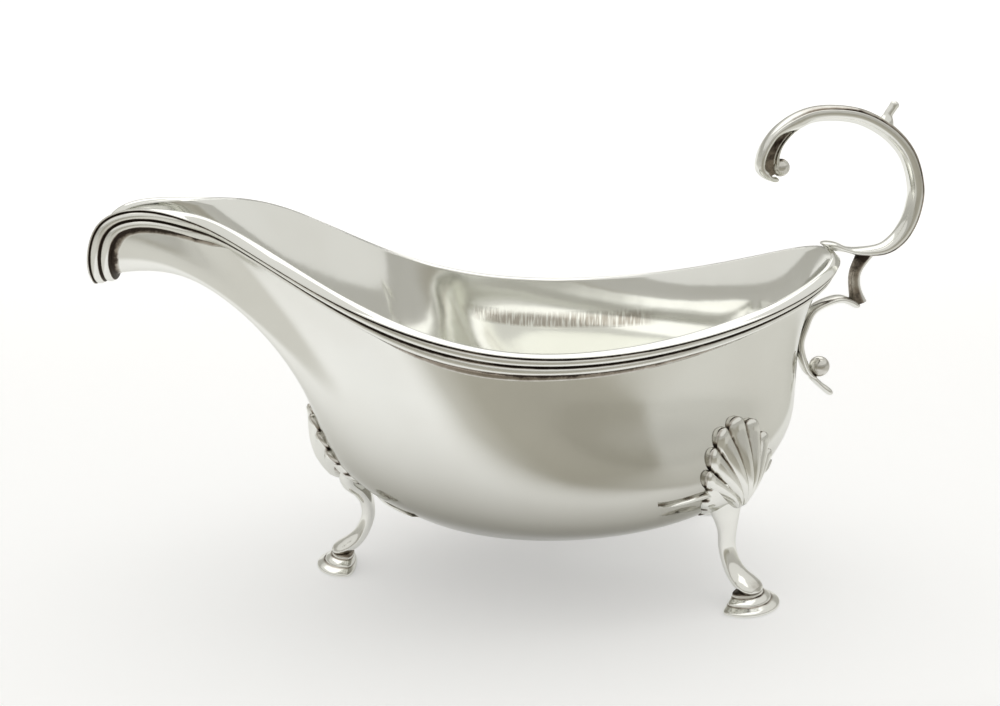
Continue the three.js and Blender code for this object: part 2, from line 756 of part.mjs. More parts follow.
// One section from the hinge to the edge: the front face, then the back inside the hull
function shellSection(place, angle, rib, rise) {
  const reachShare = shell.sideShare + (1 - shell.sideShare) * Math.max(0, Math.cos(1.45 * angle)) ** 2.2;
  const length = shell.length * reachShare * (0.93 + 0.07 * rib);
  const leaning = angle + THREE.MathUtils.degToRad(place.shellLean);
  const onHull = (share, lift) => {
    const aside = length * share * Math.sin(leaning);
    const z = knee.height + length * share * Math.cos(leaning) * rise;
    return toWorld(place, hullReach(place, z, aside) + lift, aside, z);
  };
  const sideways = 0.62 + 0.38 * Math.cos(angle);
  const front = [0.1, 0.22, 0.36, 0.5, 0.64, 0.78, 0.9, 1].map((share) => {
    const dome = shell.edge + (place.shellStand - shell.edge) * (1 - share) * sideways;
    const ridge = shell.ribHeight * (rib - 0.5) * Math.sqrt(share);
    return onHull(share, solderGap + dome + ridge);
  });
  const back = [1, 0.55, 0.1].map((share) => onHull(share, -shell.root));
  return [...front, ...back];
}

function shellGeometry(place, space) {
  return geometryOf(solid(shellLoft(place)).subtract(space));
}

function tongueGeometry(place, side, space) {
  const steps = 8;
  const rings = Array.from({ length: steps + 1 }, (_, i) => {
    const share = i / steps;
    const aside = side * (tongue.start + tongue.length * share);
    const middle = knee.height + place.tongueRise;
    const half = (tongue.width / 2) * Math.max(0.1, Math.sin(Math.PI * (0.3 + 0.68 * share)) ** 0.8);
    const onHull = (a, lift) => {
      const z = middle + a * half;
      return toWorld(place, hullReach(place, z, aside) + lift, aside, z);
    };
    const front = [-1, -0.5, 0, 0.5, 1].map((a) => onHull(a, solderGap + tongue.stand * (1 - 0.5 * a * a)));
    return [...front, onHull(1, -tongue.root), onHull(-1, -tongue.root)];
  });
  const body = solid(loft(rings)).subtract(space);
  return geometryOf(body.subtract(roomAround(legSweep(place))).subtract(roomAround(shellLoft(place))));
}

// Assembly

function named(name, geometry) {
  const flat = geometry.index ? geometry.toNonIndexed() : geometry;
  flat.computeVertexNormals();
  const mesh = new THREE.Mesh(flat, new THREE.MeshStandardMaterial(silver));
  mesh.name = name;
  return mesh;
}

function legGroup(prefix, place, space) {
  const group = new THREE.Group();
  group.add(named(`${prefix}_leg`, legGeometry(place, space)));
  group.add(named(`${prefix}_knee_shell`, shellGeometry(place, space)));
  group.add(named(`${prefix}_tongue_a`, tongueGeometry(place, -1, space)));
  group.add(named(`${prefix}_tongue_b`, tongueGeometry(place, 1, space)));
  return group;
}

function handleGroup(space) {
  const group = new THREE.Group();
  const upper = roomAround(scrollGeometry());
  const lower = roomAround(lowerScrollGeometry());
  const tail = roomAround(tailLeafGeometry());
  const cut = (geometry, ...rooms) => geometryOf(rooms.reduce((body, room) => body.subtract(room), solid(geometry)));
  group.add(named('handle_scroll', scrollGeometry()));
  group.add(named('scroll_bud', cut(scrollBudGeometry(), upper)));
  group.add(named('thumb_rest', cut(thumbRestGeometry(), upper)));
  group.add(named('handle_strut', cut(strutGeometry(), upper, lower)));
  group.add(named('lower_scroll', cut(lowerScrollGeometry(), space)));
  group.add(named('lower_scroll_bud', cut(lowerBudGeometry(), lower, tail)));
  group.add(named('tail_leaf', cut(tailLeafGeometry(), space, lower)));
  group.add(named('drop_leaf', cut(dropLeafGeometry(), space, lower, tail)));
  return group;
}

function sauceBoat() {
  const space = hullSpace().add(roomAround(bowlGeometry()));
  const boat = new THREE.Group();
  boat.add(named('bowl', bowlGeometry()));
  boat.add(named('rim_wire', rimWireGeometry()));
  boat.add(handleGroup(space));
  boat.add(legGroup('front', frontFoot, space));
  const mirrored = { y: -rearFoot.y, facing: -rearFoot.facing, shellLean: -rearFoot.shellLean };
  boat.add(legGroup('rear_left', { ...rearFoot, ...mirrored }, space));
  boat.add(legGroup('rear_right', rearFoot, space));
  return boat;
}

// Moves the boat along X so that the origin lies under the middle of its length
function centredOverTable(boat) {
  const middle = new THREE.Box3().setFromObject(boat).getCenter(new THREE.Vector3());
  boat.position.x = -middle.x;
  return boat;
}

export default centredOverTable(sauceBoat());
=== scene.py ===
"""Silver sauce boat on three shell-kneed legs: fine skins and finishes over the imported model.

Lengths are in millimetres until a skin becomes a mesh. The table is at z = 0, the lip points
along -X and the handle along +X. The boat is the same on both sides of the plane y = 0.
"""
from __future__ import annotations

import logging
import math
from dataclasses import dataclass, field
from enum import Enum
from typing import Any, Callable, Sequence

import bpy
import numpy as np
from mathutils import Matrix, Vector

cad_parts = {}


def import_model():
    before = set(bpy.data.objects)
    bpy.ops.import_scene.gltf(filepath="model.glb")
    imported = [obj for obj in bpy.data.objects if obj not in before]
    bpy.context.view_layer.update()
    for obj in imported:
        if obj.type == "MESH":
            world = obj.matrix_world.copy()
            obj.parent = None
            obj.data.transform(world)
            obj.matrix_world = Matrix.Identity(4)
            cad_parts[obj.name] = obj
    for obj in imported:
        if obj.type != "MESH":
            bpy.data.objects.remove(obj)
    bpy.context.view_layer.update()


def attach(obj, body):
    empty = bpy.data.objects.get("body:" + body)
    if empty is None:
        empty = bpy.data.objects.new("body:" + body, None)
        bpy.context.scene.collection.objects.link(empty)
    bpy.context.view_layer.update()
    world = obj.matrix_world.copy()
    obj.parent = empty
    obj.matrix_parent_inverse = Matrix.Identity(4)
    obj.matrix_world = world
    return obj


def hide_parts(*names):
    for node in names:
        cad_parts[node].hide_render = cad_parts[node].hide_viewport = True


Array = np.ndarray
Pair = tuple[float, float]
Triple = tuple[float, float, float]
Colour = tuple[float, float, float, float]
log = logging.getLogger("sauce_boat")

MM = 0.001
FULL_TURN = 2 * math.pi
MODEL_SHIFT = -3.459137  # X that brings the boat's box to the middle of the CAD frame, in millimetres


# Shader maths


def operator(operation: str, swapped: bool = False) -> Callable[["Value", Any], "Value"]:
    """Makes a method of Value that adds one Math node over it and another term.

    Args:
        operation: the node's operation.
        swapped: True for a reflected form, whose other term comes first.

    Returns:
        The method.
    """
    def method(value: "Value", other: Any) -> "Value":
        """Result of the operation."""
        terms = (other, value) if swapped else (value, other)
        return value.bench.node("ShaderNodeMath", {"operation": operation}, dict(enumerate(terms)))

    return method


@dataclass(frozen=True)
class Value:
    """A shader socket that arithmetic turns into Math nodes."""

    bench: "Bench"
    socket: Any

    __add__ = __radd__ = operator("ADD")
    __sub__, __rsub__ = operator("SUBTRACT"), operator("SUBTRACT", swapped=True)
    __mul__ = __rmul__ = operator("MULTIPLY")
    larger = operator("MAXIMUM")

    def clamped(self) -> "Value":
        """The same value held between 0 and 1."""
        return self.bench.node("ShaderNodeMath", {"operation": "ADD", "use_clamp": True}, {0: self, 1: 0.0})

    def step(self, low: float, high: float) -> "Value":
        """Smooth rise from 0 at low to 1 at high."""
        return self.bench.node("ShaderNodeMapRange", {"interpolation_type": "SMOOTHSTEP"},
                               {"Value": self, "From Min": low, "From Max": high})


@dataclass
class Bench:
    """Adds nodes to one material or world."""

    owner: Any

    @classmethod
    def start(cls, owner: Any) -> "Bench":
        """Opens an empty node tree in a new material or world."""
        owner.use_nodes = True
        owner.node_tree.nodes.clear()
        return cls(owner)

    def node(self, kind: str, settings: dict[str, Any], inputs: dict[Any, Any], output: Any = 0) -> Value:
        """Adds a node.

        Args:
            kind: the node's Blender type.
            settings: its properties, or a ramp's stops, set before its sockets.
            inputs: values or links by socket name or number.
            output: name or number of the socket that is returned, or None where the node has none.

        Returns:
            The chosen output, ready for arithmetic.
        """
        tree = self.owner.node_tree
        made = tree.nodes.new(kind)
        for key, value in settings.items():
            if key == "stops":
                for at, _ in value[1:-1]:
                    made.color_ramp.elements.new(at)
                for element, (_, colour) in zip(made.color_ramp.elements, value):
                    element.color = colour
            else:
                setattr(made, key, value)
        for key, value in inputs.items():
            if isinstance(value, Value):
                tree.links.new(value.socket, made.inputs[key])
            else:
                made.inputs[key].default_value = value
        return Value(self, None if output is None else made.outputs[output])

    def place(self, kind: str = "Object") -> Value:
        """Coordinates. Those of an object are in metres."""
        return self.node("ShaderNodeTexCoord", {}, {}, kind)

    def axis(self, place: Value, axis: int) -> Value:
        """One coordinate of a place."""
        return self.node("ShaderNodeSeparateXYZ", {}, {0: place}, axis)

    def noise(self, place: Value, scale: float, detail: float = 2.0, roughness: float = 0.5) -> Value:
        """Noise from 0 to 1 over a place."""
        return self.node("ShaderNodeTexNoise", {"noise_dimensions": "3D"},
                         {"Vector": place, "Scale": scale, "Detail": detail, "Roughness": roughness}, "Fac")

    def stretched(self, place: Value, scale: Triple) -> Value:
        """The same place with each axis scaled, which draws a pattern out along the small ones."""
        return self.node("ShaderNodeMapping", {}, {"Vector": place, "Scale": scale})

    def attribute(self, name: str) -> Value:
        """A number that the mesh carries at each point."""
        return self.node("ShaderNodeAttribute", {"attribute_name": name}, {}, "Fac")

    def blend(self, factor: Any, first: Any, second: Any) -> Value:
        """Colour between two colours."""
        return self.node("ShaderNodeMix", {"data_type": "RGBA", "clamp_factor": True},
                         {0: factor, 6: first, 7: second}, 2)

    def bump(self, height: Value, distance: float, strength: float, below: Value | None = None) -> Value:
        """Normal that a height in metres gives."""
        inputs: dict[Any, Any] = {"Height": height, "Distance": distance, "Strength": strength}
        if below is not None:
            inputs["Normal"] = below
        return self.node("ShaderNodeBump", {}, inputs, "Normal")

    def finish(self, inputs: dict[str, Any]) -> bpy.types.Material:
        """Closes the tree with one Principled shader."""
        shader = self.node("ShaderNodeBsdfPrincipled", {}, inputs)
        self.node("ShaderNodeOutputMaterial", {}, {"Surface": shader}, None)
        return self.owner


@dataclass(frozen=True)
class SilverFinish:
    """Polished silver: planishing marks, faint cloth scratches, tarnish where the cloth doesn't reach, and
    painted shade and a painted reflection where a mesh marks them.
    """

    name: str
    slot: str
    tone: Colour = (0.900, 0.905, 0.872, 1.0)
    shade: Colour = (0.865, 0.865, 0.828, 1.0)
    # Colour of the painted shade that darkens the bowl's outside towards the bottom.
    painted_underside_colour: Colour = (0.430, 0.420, 0.375, 1.0)
    tarnish_and_painted_shade: Colour = (0.050, 0.038, 0.030, 1.0)
    stain_and_painted_shade: Colour = (0.34, 0.295, 0.245, 1.0)
    edge: Colour = (0.80, 0.80, 0.78, 1.0)
    roughness: float = 0.08
    ripple_scale: float = 60.0
    ripple_height: float = 0.00012
    hammer_scale: float = 300.0
    hammer_height: float = 0.00001
    flute_scale: float = 1900.0
    flute_height: float = 0.0
    cloud_scale: float = 38.0
    patch_scale: float = 420.0
    spread_scale: float = 55.0
    scratch_scale: float = 2600.0

    def material(self) -> bpy.types.Material:
        """Silver whose tarnish and painted shade, hammered flutes with a painted dark reflection, and painted
        shade under the bowl follow the numbers that each mesh carries.

        Tarnish and painted shade come in two depths: a thin film wherever a mesh marks some, and grime where
        the mark is deep. The sum of that mark and two noises decides how far each reaches.

        Returns:
            The finished material.
        """
        bench = Bench.start(bpy.data.materials.new(self.name))
        place = bench.place()
        recess = bench.attribute("recess")
        patches = bench.noise(place, self.patch_scale, 3.0, 0.6) - 0.5
        spread = bench.noise(place, self.spread_scale, 1.0) - 0.5
        # Tarnish in hollows, and painted shade where a mesh marks it: a thin film, and grime where it is
        # deep.
        film_and_painted_shade = (recess + patches * 0.35).step(0.12, 0.62) * recess.step(0.02, 0.2)
        grime_and_painted_shade = (recess + patches * 0.7 + spread * 1.1).step(0.56, 0.84) * recess.step(0.1, 0.4)
        clouds = bench.noise(place, self.cloud_scale, 3.0)
        silver = bench.blend(clouds.step(0.35, 0.7), self.tone, self.shade)
        # Painted shade: the bowl's outside darkens towards the bottom, for the shadowed table that it
        # mirrors.
        toned = bench.blend(bench.attribute("dull"), silver, self.painted_underside_colour)
        if self.flute_height:
            worked = bench.attribute("worked")
            flutes = bench.noise(bench.stretched(place, (1.0, 0.12, 0.12)), self.flute_scale, 1.0)
            # Painted reflection: dark streaks along the flutes in the band; the flutes' bump below is real.
            toned = bench.blend(flutes.step(0.25, 0.6) * worked * 0.75, toned, self.stain_and_painted_shade)
        colour = bench.blend(grime_and_painted_shade, bench.blend(film_and_painted_shade, toned, self.stain_and_painted_shade), self.tarnish_and_painted_shade)
        scratches = bench.noise(bench.stretched(place, (1.0, 0.12, 0.3)), self.scratch_scale, 2.0)
        rough = self.roughness + scratches * 0.06 + film_and_painted_shade * 0.12 + grime_and_painted_shade * 0.3
        ripples = bench.noise(place, self.ripple_scale, 1.0)
        hammer = bench.noise(place, self.hammer_scale, 1.0)
        normal = bench.bump(hammer, self.hammer_height, 1.0, bench.bump(ripples, self.ripple_height, 1.0))
        if self.flute_height:
            normal = bench.bump(flutes * worked, self.flute_height, 1.0, normal)
        return bench.finish({"Base Color": colour, "Metallic": 1.0, "Roughness": rough.clamped(),
                             "Specular Tint": self.edge, "Normal": normal})


class Finish(Enum):
    """The finishes on this boat."""

    SHEET = SilverFinish("silver_sheet_polished", "silver_sheet", flute_height=0.00004)
    WIRE = SilverFinish("silver_wire_reeded", "silver_wire", ripple_height=0.00003, hammer_height=0.000006)
    CAST = SilverFinish("silver_cast_chased", "silver_cast", tone=(0.850, 0.850, 0.810, 1.0),
                        ripple_scale=160.0, ripple_height=0.00004, roughness=0.1)

    def material(self) -> bpy.types.Material:
        """The finish's material, made once."""
        return bpy.data.materials.get(self.value.name) or self.value.material()


# Skins


@dataclass
class Skin:
    """Points, faces, and for each point, from 0 to 1, how recessed it is with its painted shade, how far the
    flutes and their painted reflection reach, and its painted shade under the bowl.
    """

    points: Array
    quads: Array
    triangles: Array
    recess: Array
    worked: Array | None = None
    dull: Array | None = None

    def joined(self, other: "Skin") -> "Skin":
        """Both skins as one, with nothing merged, keeping only how recessed each point is and its painted
        shade.
        """
        count = len(self.points)
        return Skin(np.vstack([self.points, other.points]), np.vstack([self.quads, other.quads + count]),
                    np.vstack([self.triangles, other.triangles + count]),
                    np.concatenate([self.recess, other.recess]))

    def facing_out(self) -> "Skin":
        """The same skin with its faces outwards, judged by the sign of its volume."""
        p, q, t = self.points, self.quads, self.triangles
        split = np.vstack([q[:, [0, 1, 2]], q[:, [0, 2, 3]], t])
        a, b, c = p[split[:, 0]], p[split[:, 1]], p[split[:, 2]]
        if np.einsum("ij,ij->i", a, np.cross(b, c)).sum() < 0:
            return Skin(p, q[:, ::-1], t[:, ::-1], self.recess, self.worked, self.dull)
        return self


def strips(index: Array) -> Array:
    """Quads between each closed row of point numbers and the next."""
    following = np.roll(index, -1, axis=1)
    return np.stack([index[:-1], following[:-1], following[1:], index[1:]], axis=-1).reshape(-1, 4)


def lofted(rings: Array, recess: Array | None = None, capped: bool = True) -> Skin:
    """Skins rings of points. Each ring is closed, and a fan closes each end.

    Args:
        rings: points as ring, place in ring, coordinate.
        recess: how recessed each point is and its painted shade, or none.
        capped: True for closed ends, False for a loop that joins its last ring to its first.

    Returns:
        A closed skin.
    """
    count, sides = rings.shape[:2]
    index = np.arange(count * sides).reshape(count, sides)
    quads = strips(index if capped else np.vstack([index, index[:1]]))
    depth = np.zeros((count, sides)) if recess is None else recess
    points, triangles = rings.reshape(-1, 3), np.empty((0, 3), dtype=int)
    if capped:
        hubs = np.array([rings[0].mean(axis=0), rings[-1].mean(axis=0)])
        first, last = index[0], index[-1]
        start = np.stack([np.full(sides, len(points)), np.roll(first, -1), first], axis=-1)
        end = np.stack([np.full(sides, len(points) + 1), last, np.roll(last, -1)], axis=-1)
        points, triangles = np.vstack([points, hubs]), np.vstack([start, end])
        depth = np.concatenate([depth.ravel(), [depth[0].mean(), depth[-1].mean()]])
    return Skin(points, quads, triangles, depth.ravel()).facing_out()


def slab(front: Array, back: Array, shade: Array, behind: Array) -> Skin:
    """Closed skin of a front and a back on the same grid, each with how recessed it is and its painted shade.
    """
    rings, recess = (np.concatenate([a, b[:, ::-1]], axis=1) for a, b in ((front, back), (shade, behind)))
    return lofted(rings, recess)


def linked(name: str, data: Any) -> bpy.types.Object:
    """New object in the scene."""
    made = bpy.data.objects.new(name, data)
    bpy.context.scene.collection.objects.link(made)
    return made


def smooth_mesh(name: str, points: Array, *faces: Array) -> bpy.types.Mesh:
    """Makes a mesh with smooth shading.

    Args:
        name: name of the mesh.
        points: points in metres.
        faces: tables of corners, one for each number of corners.

    Returns:
        The new mesh.
    """
    mesh = bpy.data.meshes.new(name)
    corners = np.concatenate([table.ravel() for table in faces])
    totals = np.concatenate([np.full(len(table), table.shape[1]) for table in faces])
    counts = ((mesh.vertices, len(points)), (mesh.loops, len(corners)), (mesh.polygons, len(totals)))
    for rows, count in counts:
        rows.add(count)
    mesh.vertices.foreach_set("co", points.astype(np.float32).ravel())
    mesh.loops.foreach_set("vertex_index", corners.astype(np.int32))
    mesh.polygons.foreach_set("loop_start", (np.cumsum(totals) - totals).astype(np.int32))
    mesh.polygons.foreach_set("use_smooth", np.ones(len(totals), dtype=bool))
    mesh.update(calc_edges=True)
    mesh.validate()
    return mesh


def piece(name: str, skin: Skin, finish: Finish, node: str) -> None:
    """Puts a skin into a mesh, dresses it, hides the CAD node that it stands for and logs which one it is.

    Args:
        name: name of the new piece.
        skin: its points and faces, in millimetres.
        finish: what it is made of.
        node: CAD node that it replaces.
    """
    mesh = smooth_mesh(name, (skin.points + [MODEL_SHIFT, 0, 0]) * MM, skin.quads, skin.triangles)
    for label, amounts in (("recess", skin.recess), ("worked", skin.worked), ("dull", skin.dull)):
        if amounts is not None:
            mesh.attributes.new(label, "FLOAT", "POINT").data.foreach_set("value", amounts.astype(np.float32))
    mesh.materials.append(finish.material())
    made = linked(name, mesh)
    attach(made, "root")
    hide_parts(node)
    log.info("%s: %d points, %d faces, stands for %s", name, len(skin.points), len(mesh.polygons), node)


# Curves


def smoothstep(x: Array | float, low: float, high: float) -> Array:
    """Rise from 0 at low to 1 at high: 3t^2 - 2t^3."""
    t = np.clip((np.asarray(x, float) - low) / (high - low), 0.0, 1.0)
    return t * t * (3 - 2 * t)


def fall(x: Array | float, low: float, high: float) -> Array:
    """Fall from 1 at low to 0 at high."""
    return 1 - smoothstep(x, low, high)


def spline(points: Sequence[Sequence[float]], shares: Array, tension: float = 0.25) -> Array:
    """Centripetal Catmull-Rom curve through points, with each span an equal share.

    Each span is a cubic Hermite whose end slopes come from the neighbouring points, weighted by
    the square root of their distances (tension 0.25 on the squared distance, 0 for even weights).

    Args:
        points: the points that it passes.
        shares: places along it, from 0 to 1.
        tension: power of the squared distance.

    Returns:
        One point for each share.
    """
    p = np.asarray(points, float)
    p = np.vstack([2 * p[0] - p[1], p, 2 * p[-1] - p[-2]])
    spans = len(p) - 3
    place = np.clip(np.asarray(shares, float), 0, 1) * spans
    k = np.minimum(place.astype(int), spans - 1)
    t = (place - k)[:, None]
    p0, p1, p2, p3 = p[k], p[k + 1], p[k + 2], p[k + 3]
    gap = lambda a, b: np.maximum(((b - a) ** 2).sum(axis=1, keepdims=True) ** tension, 1e-6)
    d0, d1, d2 = gap(p0, p1), gap(p1, p2), gap(p2, p3)
    m1 = ((p1 - p0) / d0 - (p2 - p0) / (d0 + d1) + (p2 - p1) / d1) * d1
    m2 = ((p2 - p1) / d1 - (p3 - p1) / (d1 + d2) + (p3 - p2) / d2) * d1
    return ((2 * t**3 - 3 * t**2 + 1) * p1 + (t**3 - 2 * t**2 + t) * m1
            + (-2 * t**3 + 3 * t**2) * p2 + (t**3 - t**2) * m2)


def unit(v: Array) -> Array:
    """Vectors of length one."""
    return v / np.maximum(np.linalg.norm(v, axis=-1, keepdims=True), 1e-12)


def tangents(curve: Array) -> Array:
    """Unit tangents of a row of points, by central differences."""
    return unit(np.gradient(curve, axis=0))


def round_angles(count: int, start: float = 0.0) -> Array:
    """Even angles once round, in radians, from a start in steps."""
    return FULL_TURN * (np.arange(count) + start)[None, :] / count


def grid(rows: int, columns: int) -> tuple[Array, Array]:
    """Column of shares from 0 to 1 along a leaf, and row of places from -1 to 1 across it."""
    return np.linspace(0, 1, rows)[:, None], np.linspace(-1, 1, columns)[None, :]


def basis(count: int, t: Array) -> Array:
    """Cubic B-spline weights over clamped, even knots, by the Cox-de Boor recursion.

    Args:
        count: number of poles.
        t: places from 0 to 1.

    Returns:
        One row of weights for each place.
    """
    knots = np.concatenate([np.zeros(3), np.linspace(0, 1, count - 2), np.ones(3)])
    t = np.clip(t, 0, 1 - 1e-10)[..., None]
    weights = ((knots[:-1] <= t) & (t < knots[1:])).astype(float)
    for degree in range(1, 4):
        before, after = knots[degree:-1] - knots[:-degree - 1], knots[degree + 1:] - knots[1:-degree]
        up = np.where(before > 0, (t - knots[:-degree - 1]) / np.where(before > 0, before, 1), 0)
        down = np.where(after > 0, (knots[degree + 1:] - t) / np.where(after > 0, after, 1), 0)
        weights = up * weights[..., :-1] + down * weights[..., 1:]
    return weights


# Hull


@dataclass(frozen=True)
class Oval:
    """One oval row of hull poles: its ends along X, half breadth, and heights at front, side and rear."""

    front: float
    rear: float
    breadth: float
    heights: Triple

    STATIONS = (0, 0, 0.05, 0.18, 0.38, 0.64, 0.89, 1, 1)
    BREADTHS = (0, 0.19, 0.5, 0.8, 1.01, 1.01, 0.72, 0.28, 0)

    def poles(self) -> Array:
        """Poles of a half oval, whose height runs from its middle to its ends by the power 1.5."""
        stations = np.array(self.STATIONS)
        side = 1 - 2 * stations
        front, middle, rear = self.heights
        height = middle + np.where(side > 0, front - middle, rear - middle) * np.abs(side) ** 1.5
        return np.stack([self.front + (self.rear - self.front) * stations,
                         self.breadth * np.array(self.BREADTHS), height], axis=1)


def free_row(poles: Sequence[Triple]) -> Array:
    """A row of poles whose ends are doubled on the plane y = 0."""
    row = np.array(poles, float)
    return np.vstack([row[0] * [1, 0, 1], row, row[-1] * [1, 0, 1]])


@dataclass
class Hull:
    """Outside of the raised bowl: one cubic B-spline net for the half at -Y, mirrored to +Y."""

    wall: float = 1.0
    bottom: Oval = Oval(-12, 30, 15, (9.2, 9.2, 9.2))
    bilge: Oval = Oval(-25, 54.2, 32.5, (16.8, 16.8, 16.8))
    belly: Oval = Oval(-40.5, 62.2, 41.7, (27.2, 20.7, 28.3))
    net: Array = field(init=False)

    WAIST = ((-43.3, 8.5, 52.6), (-42.3, 19.2, 47.4), (-29.9, 29.6, 40), (-12.4, 43.8, 38.3),
             (16.6, 45.4, 33.3), (49.6, 28.6, 38.7), (68, 13.2, 35.4))
    NECK = ((-65, 9.2, 72.8), (-62.2, 14.6, 70.7), (-43.6, 19.8, 61.5), (-28.7, 40.8, 58.6),
            (4.4, 46.1, 44.9), (47.2, 25.1, 53.3), (65, 11.1, 55.4))
    RIM = ((-87.2, 7.1, 67.2), (-88.2, 7.4, 84.5), (-63.8, 7.9, 82.6), (-50.3, 37, 79.3),
           (-6.6, 48.7, 53.6), (58.2, 26.8, 61.9), (74, 11.7, 71))

    def __post_init__(self) -> None:
        """Stacks the rows from the bottom's centre to the rim."""
        centre = np.tile([(self.bottom.front + self.bottom.rear) / 2, 0, self.bottom.heights[1]], (9, 1))
        ovals = [row.poles() for row in (self.bottom, self.bilge, self.belly)]
        self.net = np.array([centre, *ovals, *(free_row(row) for row in (self.WAIST, self.NECK, self.RIM))])

    def point(self, turn: Array, level: Array) -> Array:
        """Point on the outside: turn runs once round from the lip, level from the bottom to the rim."""
        turn, level = np.broadcast_arrays(np.asarray(turn, float), np.asarray(level, float))
        wrapped = turn - np.floor(turn)
        along = np.where(wrapped < 0.5, 2 * wrapped, 2 - 2 * wrapped)
        rows, columns = (basis(*pair) for pair in zip(self.net.shape[:2], (level, along)))
        found = np.einsum("...i,...j,ijk->...k", rows, columns, self.net, optimize=True)
        found[..., 1] *= np.where(wrapped < 0.5, -1, 1)
        return found

    def frame(self, turn: Array, level: Array) -> tuple[Array, Array, Array, Array]:
        """Point, slope along the turn, slope along the level, and outward normal, by central differences."""
        tiny = 1e-4
        high = np.minimum(1, np.asarray(level, float) + tiny)
        low = high - 2 * tiny
        along_turn = (self.point(turn + tiny, level) - self.point(turn - tiny, level)) / (2 * tiny)
        along_level = (self.point(turn, high) - self.point(turn, low)) / (2 * tiny)
        return self.point(turn, level), along_turn, along_level, unit(np.cross(along_turn, along_level))

    def crowded_turns(self, count: int, crowding: float) -> Array:
        """Turns that crowd where the rim bends: equal steps of length plus crowding times the bend."""
        fine = 1440
        steps = np.diff(self.point(np.arange(fine + 1) / fine, 1.0), axis=0)
        ahead = unit(steps)
        bend = np.arccos(np.clip((ahead * np.roll(ahead, -1, axis=0)).sum(axis=1), -1, 1))
        weight = np.linalg.norm(steps, axis=1) + crowding * (bend + np.roll(bend, 1)) / 2
        walked = np.concatenate([[0], np.cumsum(weight)])
        return np.interp(walked[-1] * np.arange(count) / count, walked, np.arange(fine + 1) / fine)

    def below_edge(self, turns: Array, depths: Array) -> tuple[Array, Array, Array]:
        """Points, normals and upward directions down from the rim, at depths measured square to it.

        Args:
            turns: places round the rim.
            depths: depth of each row below the edge, as row, turn. A depth above the edge is negative.

        Returns:
            Points, normals and directions towards the rim, as row, turn, coordinate.
        """
        along = unit(self.frame(turns, np.ones_like(turns))[1])
        level, walked, steps = np.ones_like(turns), np.zeros_like(turns), 4
        points, normals, ups = [], [], []
        square_to_edge = lambda slope: slope - along * (slope * along).sum(axis=1, keepdims=True)
        for depth in depths:
            for _ in range(steps):
                pace = np.linalg.norm(square_to_edge(self.frame(turns, level)[2]), axis=1)
                level = level - np.maximum(depth - walked, 0) / steps / pace
            walked = np.maximum(walked, depth)
            point, _, slope, normal = self.frame(turns, level)
            up = unit(square_to_edge(slope))
            points.append(point - up * np.minimum(depth, 0)[:, None])
            normals.append(normal)
            ups.append(up)
        return np.array(points), np.array(normals), np.array(ups)

    def back_x(self, height: Array | float) -> Array:
        """Rear profile on the plane y = 0: X at a height."""
        levels = np.linspace(0.1, 1, 400)
        profile = self.point(np.full(400, 0.5), levels)
        return np.interp(height, profile[:, 2], profile[:, 0])


@dataclass
class Bowl:
    """The raised sheet: outside, rounded edge and lining as one closed skin."""

    hull: Hull
    segments: int = 380
    outside_levels: int = 118
    lining_levels: int = 100
    edge_round: float = 0.35
    span: Pair = (0.012, 0.992)

    # Band of hammered flutes under the rim, whose colour also carries a painted dark reflection.
    FLUTES_AND_PAINTED_REFLECTION_LEVELS = (0.872, 0.882, 0.902, 0.926)
    FLUTES_AND_PAINTED_REFLECTION_TURNS = (0.09, 0.108, 0.172, 0.198)

    def skin(self) -> Skin:
        """Rings up the outside, half a circle over the edge, and rings down the lining.

        The lining is hammered into flutes in a band just under the rim, on both sides of the handle, with a
        painted dark reflection along them. The outside is darkened by painted shade below, less so behind,
        where the wall takes the light.

        Returns:
            The closed skin of the bowl.
        """
        hull, turns = self.hull, self.hull.crowded_turns(self.segments, 8.0)
        bottom, top = self.span
        up, down = np.linspace(bottom, top, self.outside_levels), np.linspace(top, bottom, self.lining_levels)
        outside = hull.point(turns[None, :], up[:, None])
        point, _, _, normal = hull.frame(*np.meshgrid(turns, down))
        lining = point - hull.wall * normal
        edge, edge_normal, edge_up = hull.below_edge(turns, np.full((1, len(turns)), 0.0))
        angles = np.linspace(0, math.pi, 7)[:, None, None]
        over = (edge + edge_normal * hull.wall * (np.cos(angles) - 1) / 2
                + edge_up * self.edge_round * (np.sin(angles) - 1))
        skin = lofted(np.vstack([outside, over, lining]))
        band, stretch = (smoothstep(x, low, full) * fall(x, still, high) for x, (low, full, still, high) in (
            (down, self.FLUTES_AND_PAINTED_REFLECTION_LEVELS), (np.abs(turns - 0.5), self.FLUTES_AND_PAINTED_REFLECTION_TURNS)))
        # Flute band: real flutes in the bump, and a painted dark reflection in the colour.
        worked = np.vstack([np.zeros((len(up) + len(angles), len(turns))), band[:, None] * stretch[None, :]])
        skin.worked = np.concatenate([worked.ravel(), [0.0, 0.0]])
        behind = smoothstep(np.minimum(turns, 1 - turns), 0.40, 0.47)
        # Painted shade on the outside, darker towards the bottom and lighter behind; none on the edge or
        # lining.
        dull = fall(up, 0.40, 0.86)[:, None] * (1 - 0.7 * behind)
        bright = np.zeros((len(angles) + len(down)) * len(turns))
        skin.dull = np.concatenate([dull.ravel(), bright, [1.0, 0.0]])
        return skin

    def build(self) -> None:
        """Makes the bowl."""
        piece("bowl_sheet", self.skin(), Finish.SHEET, "bowl")


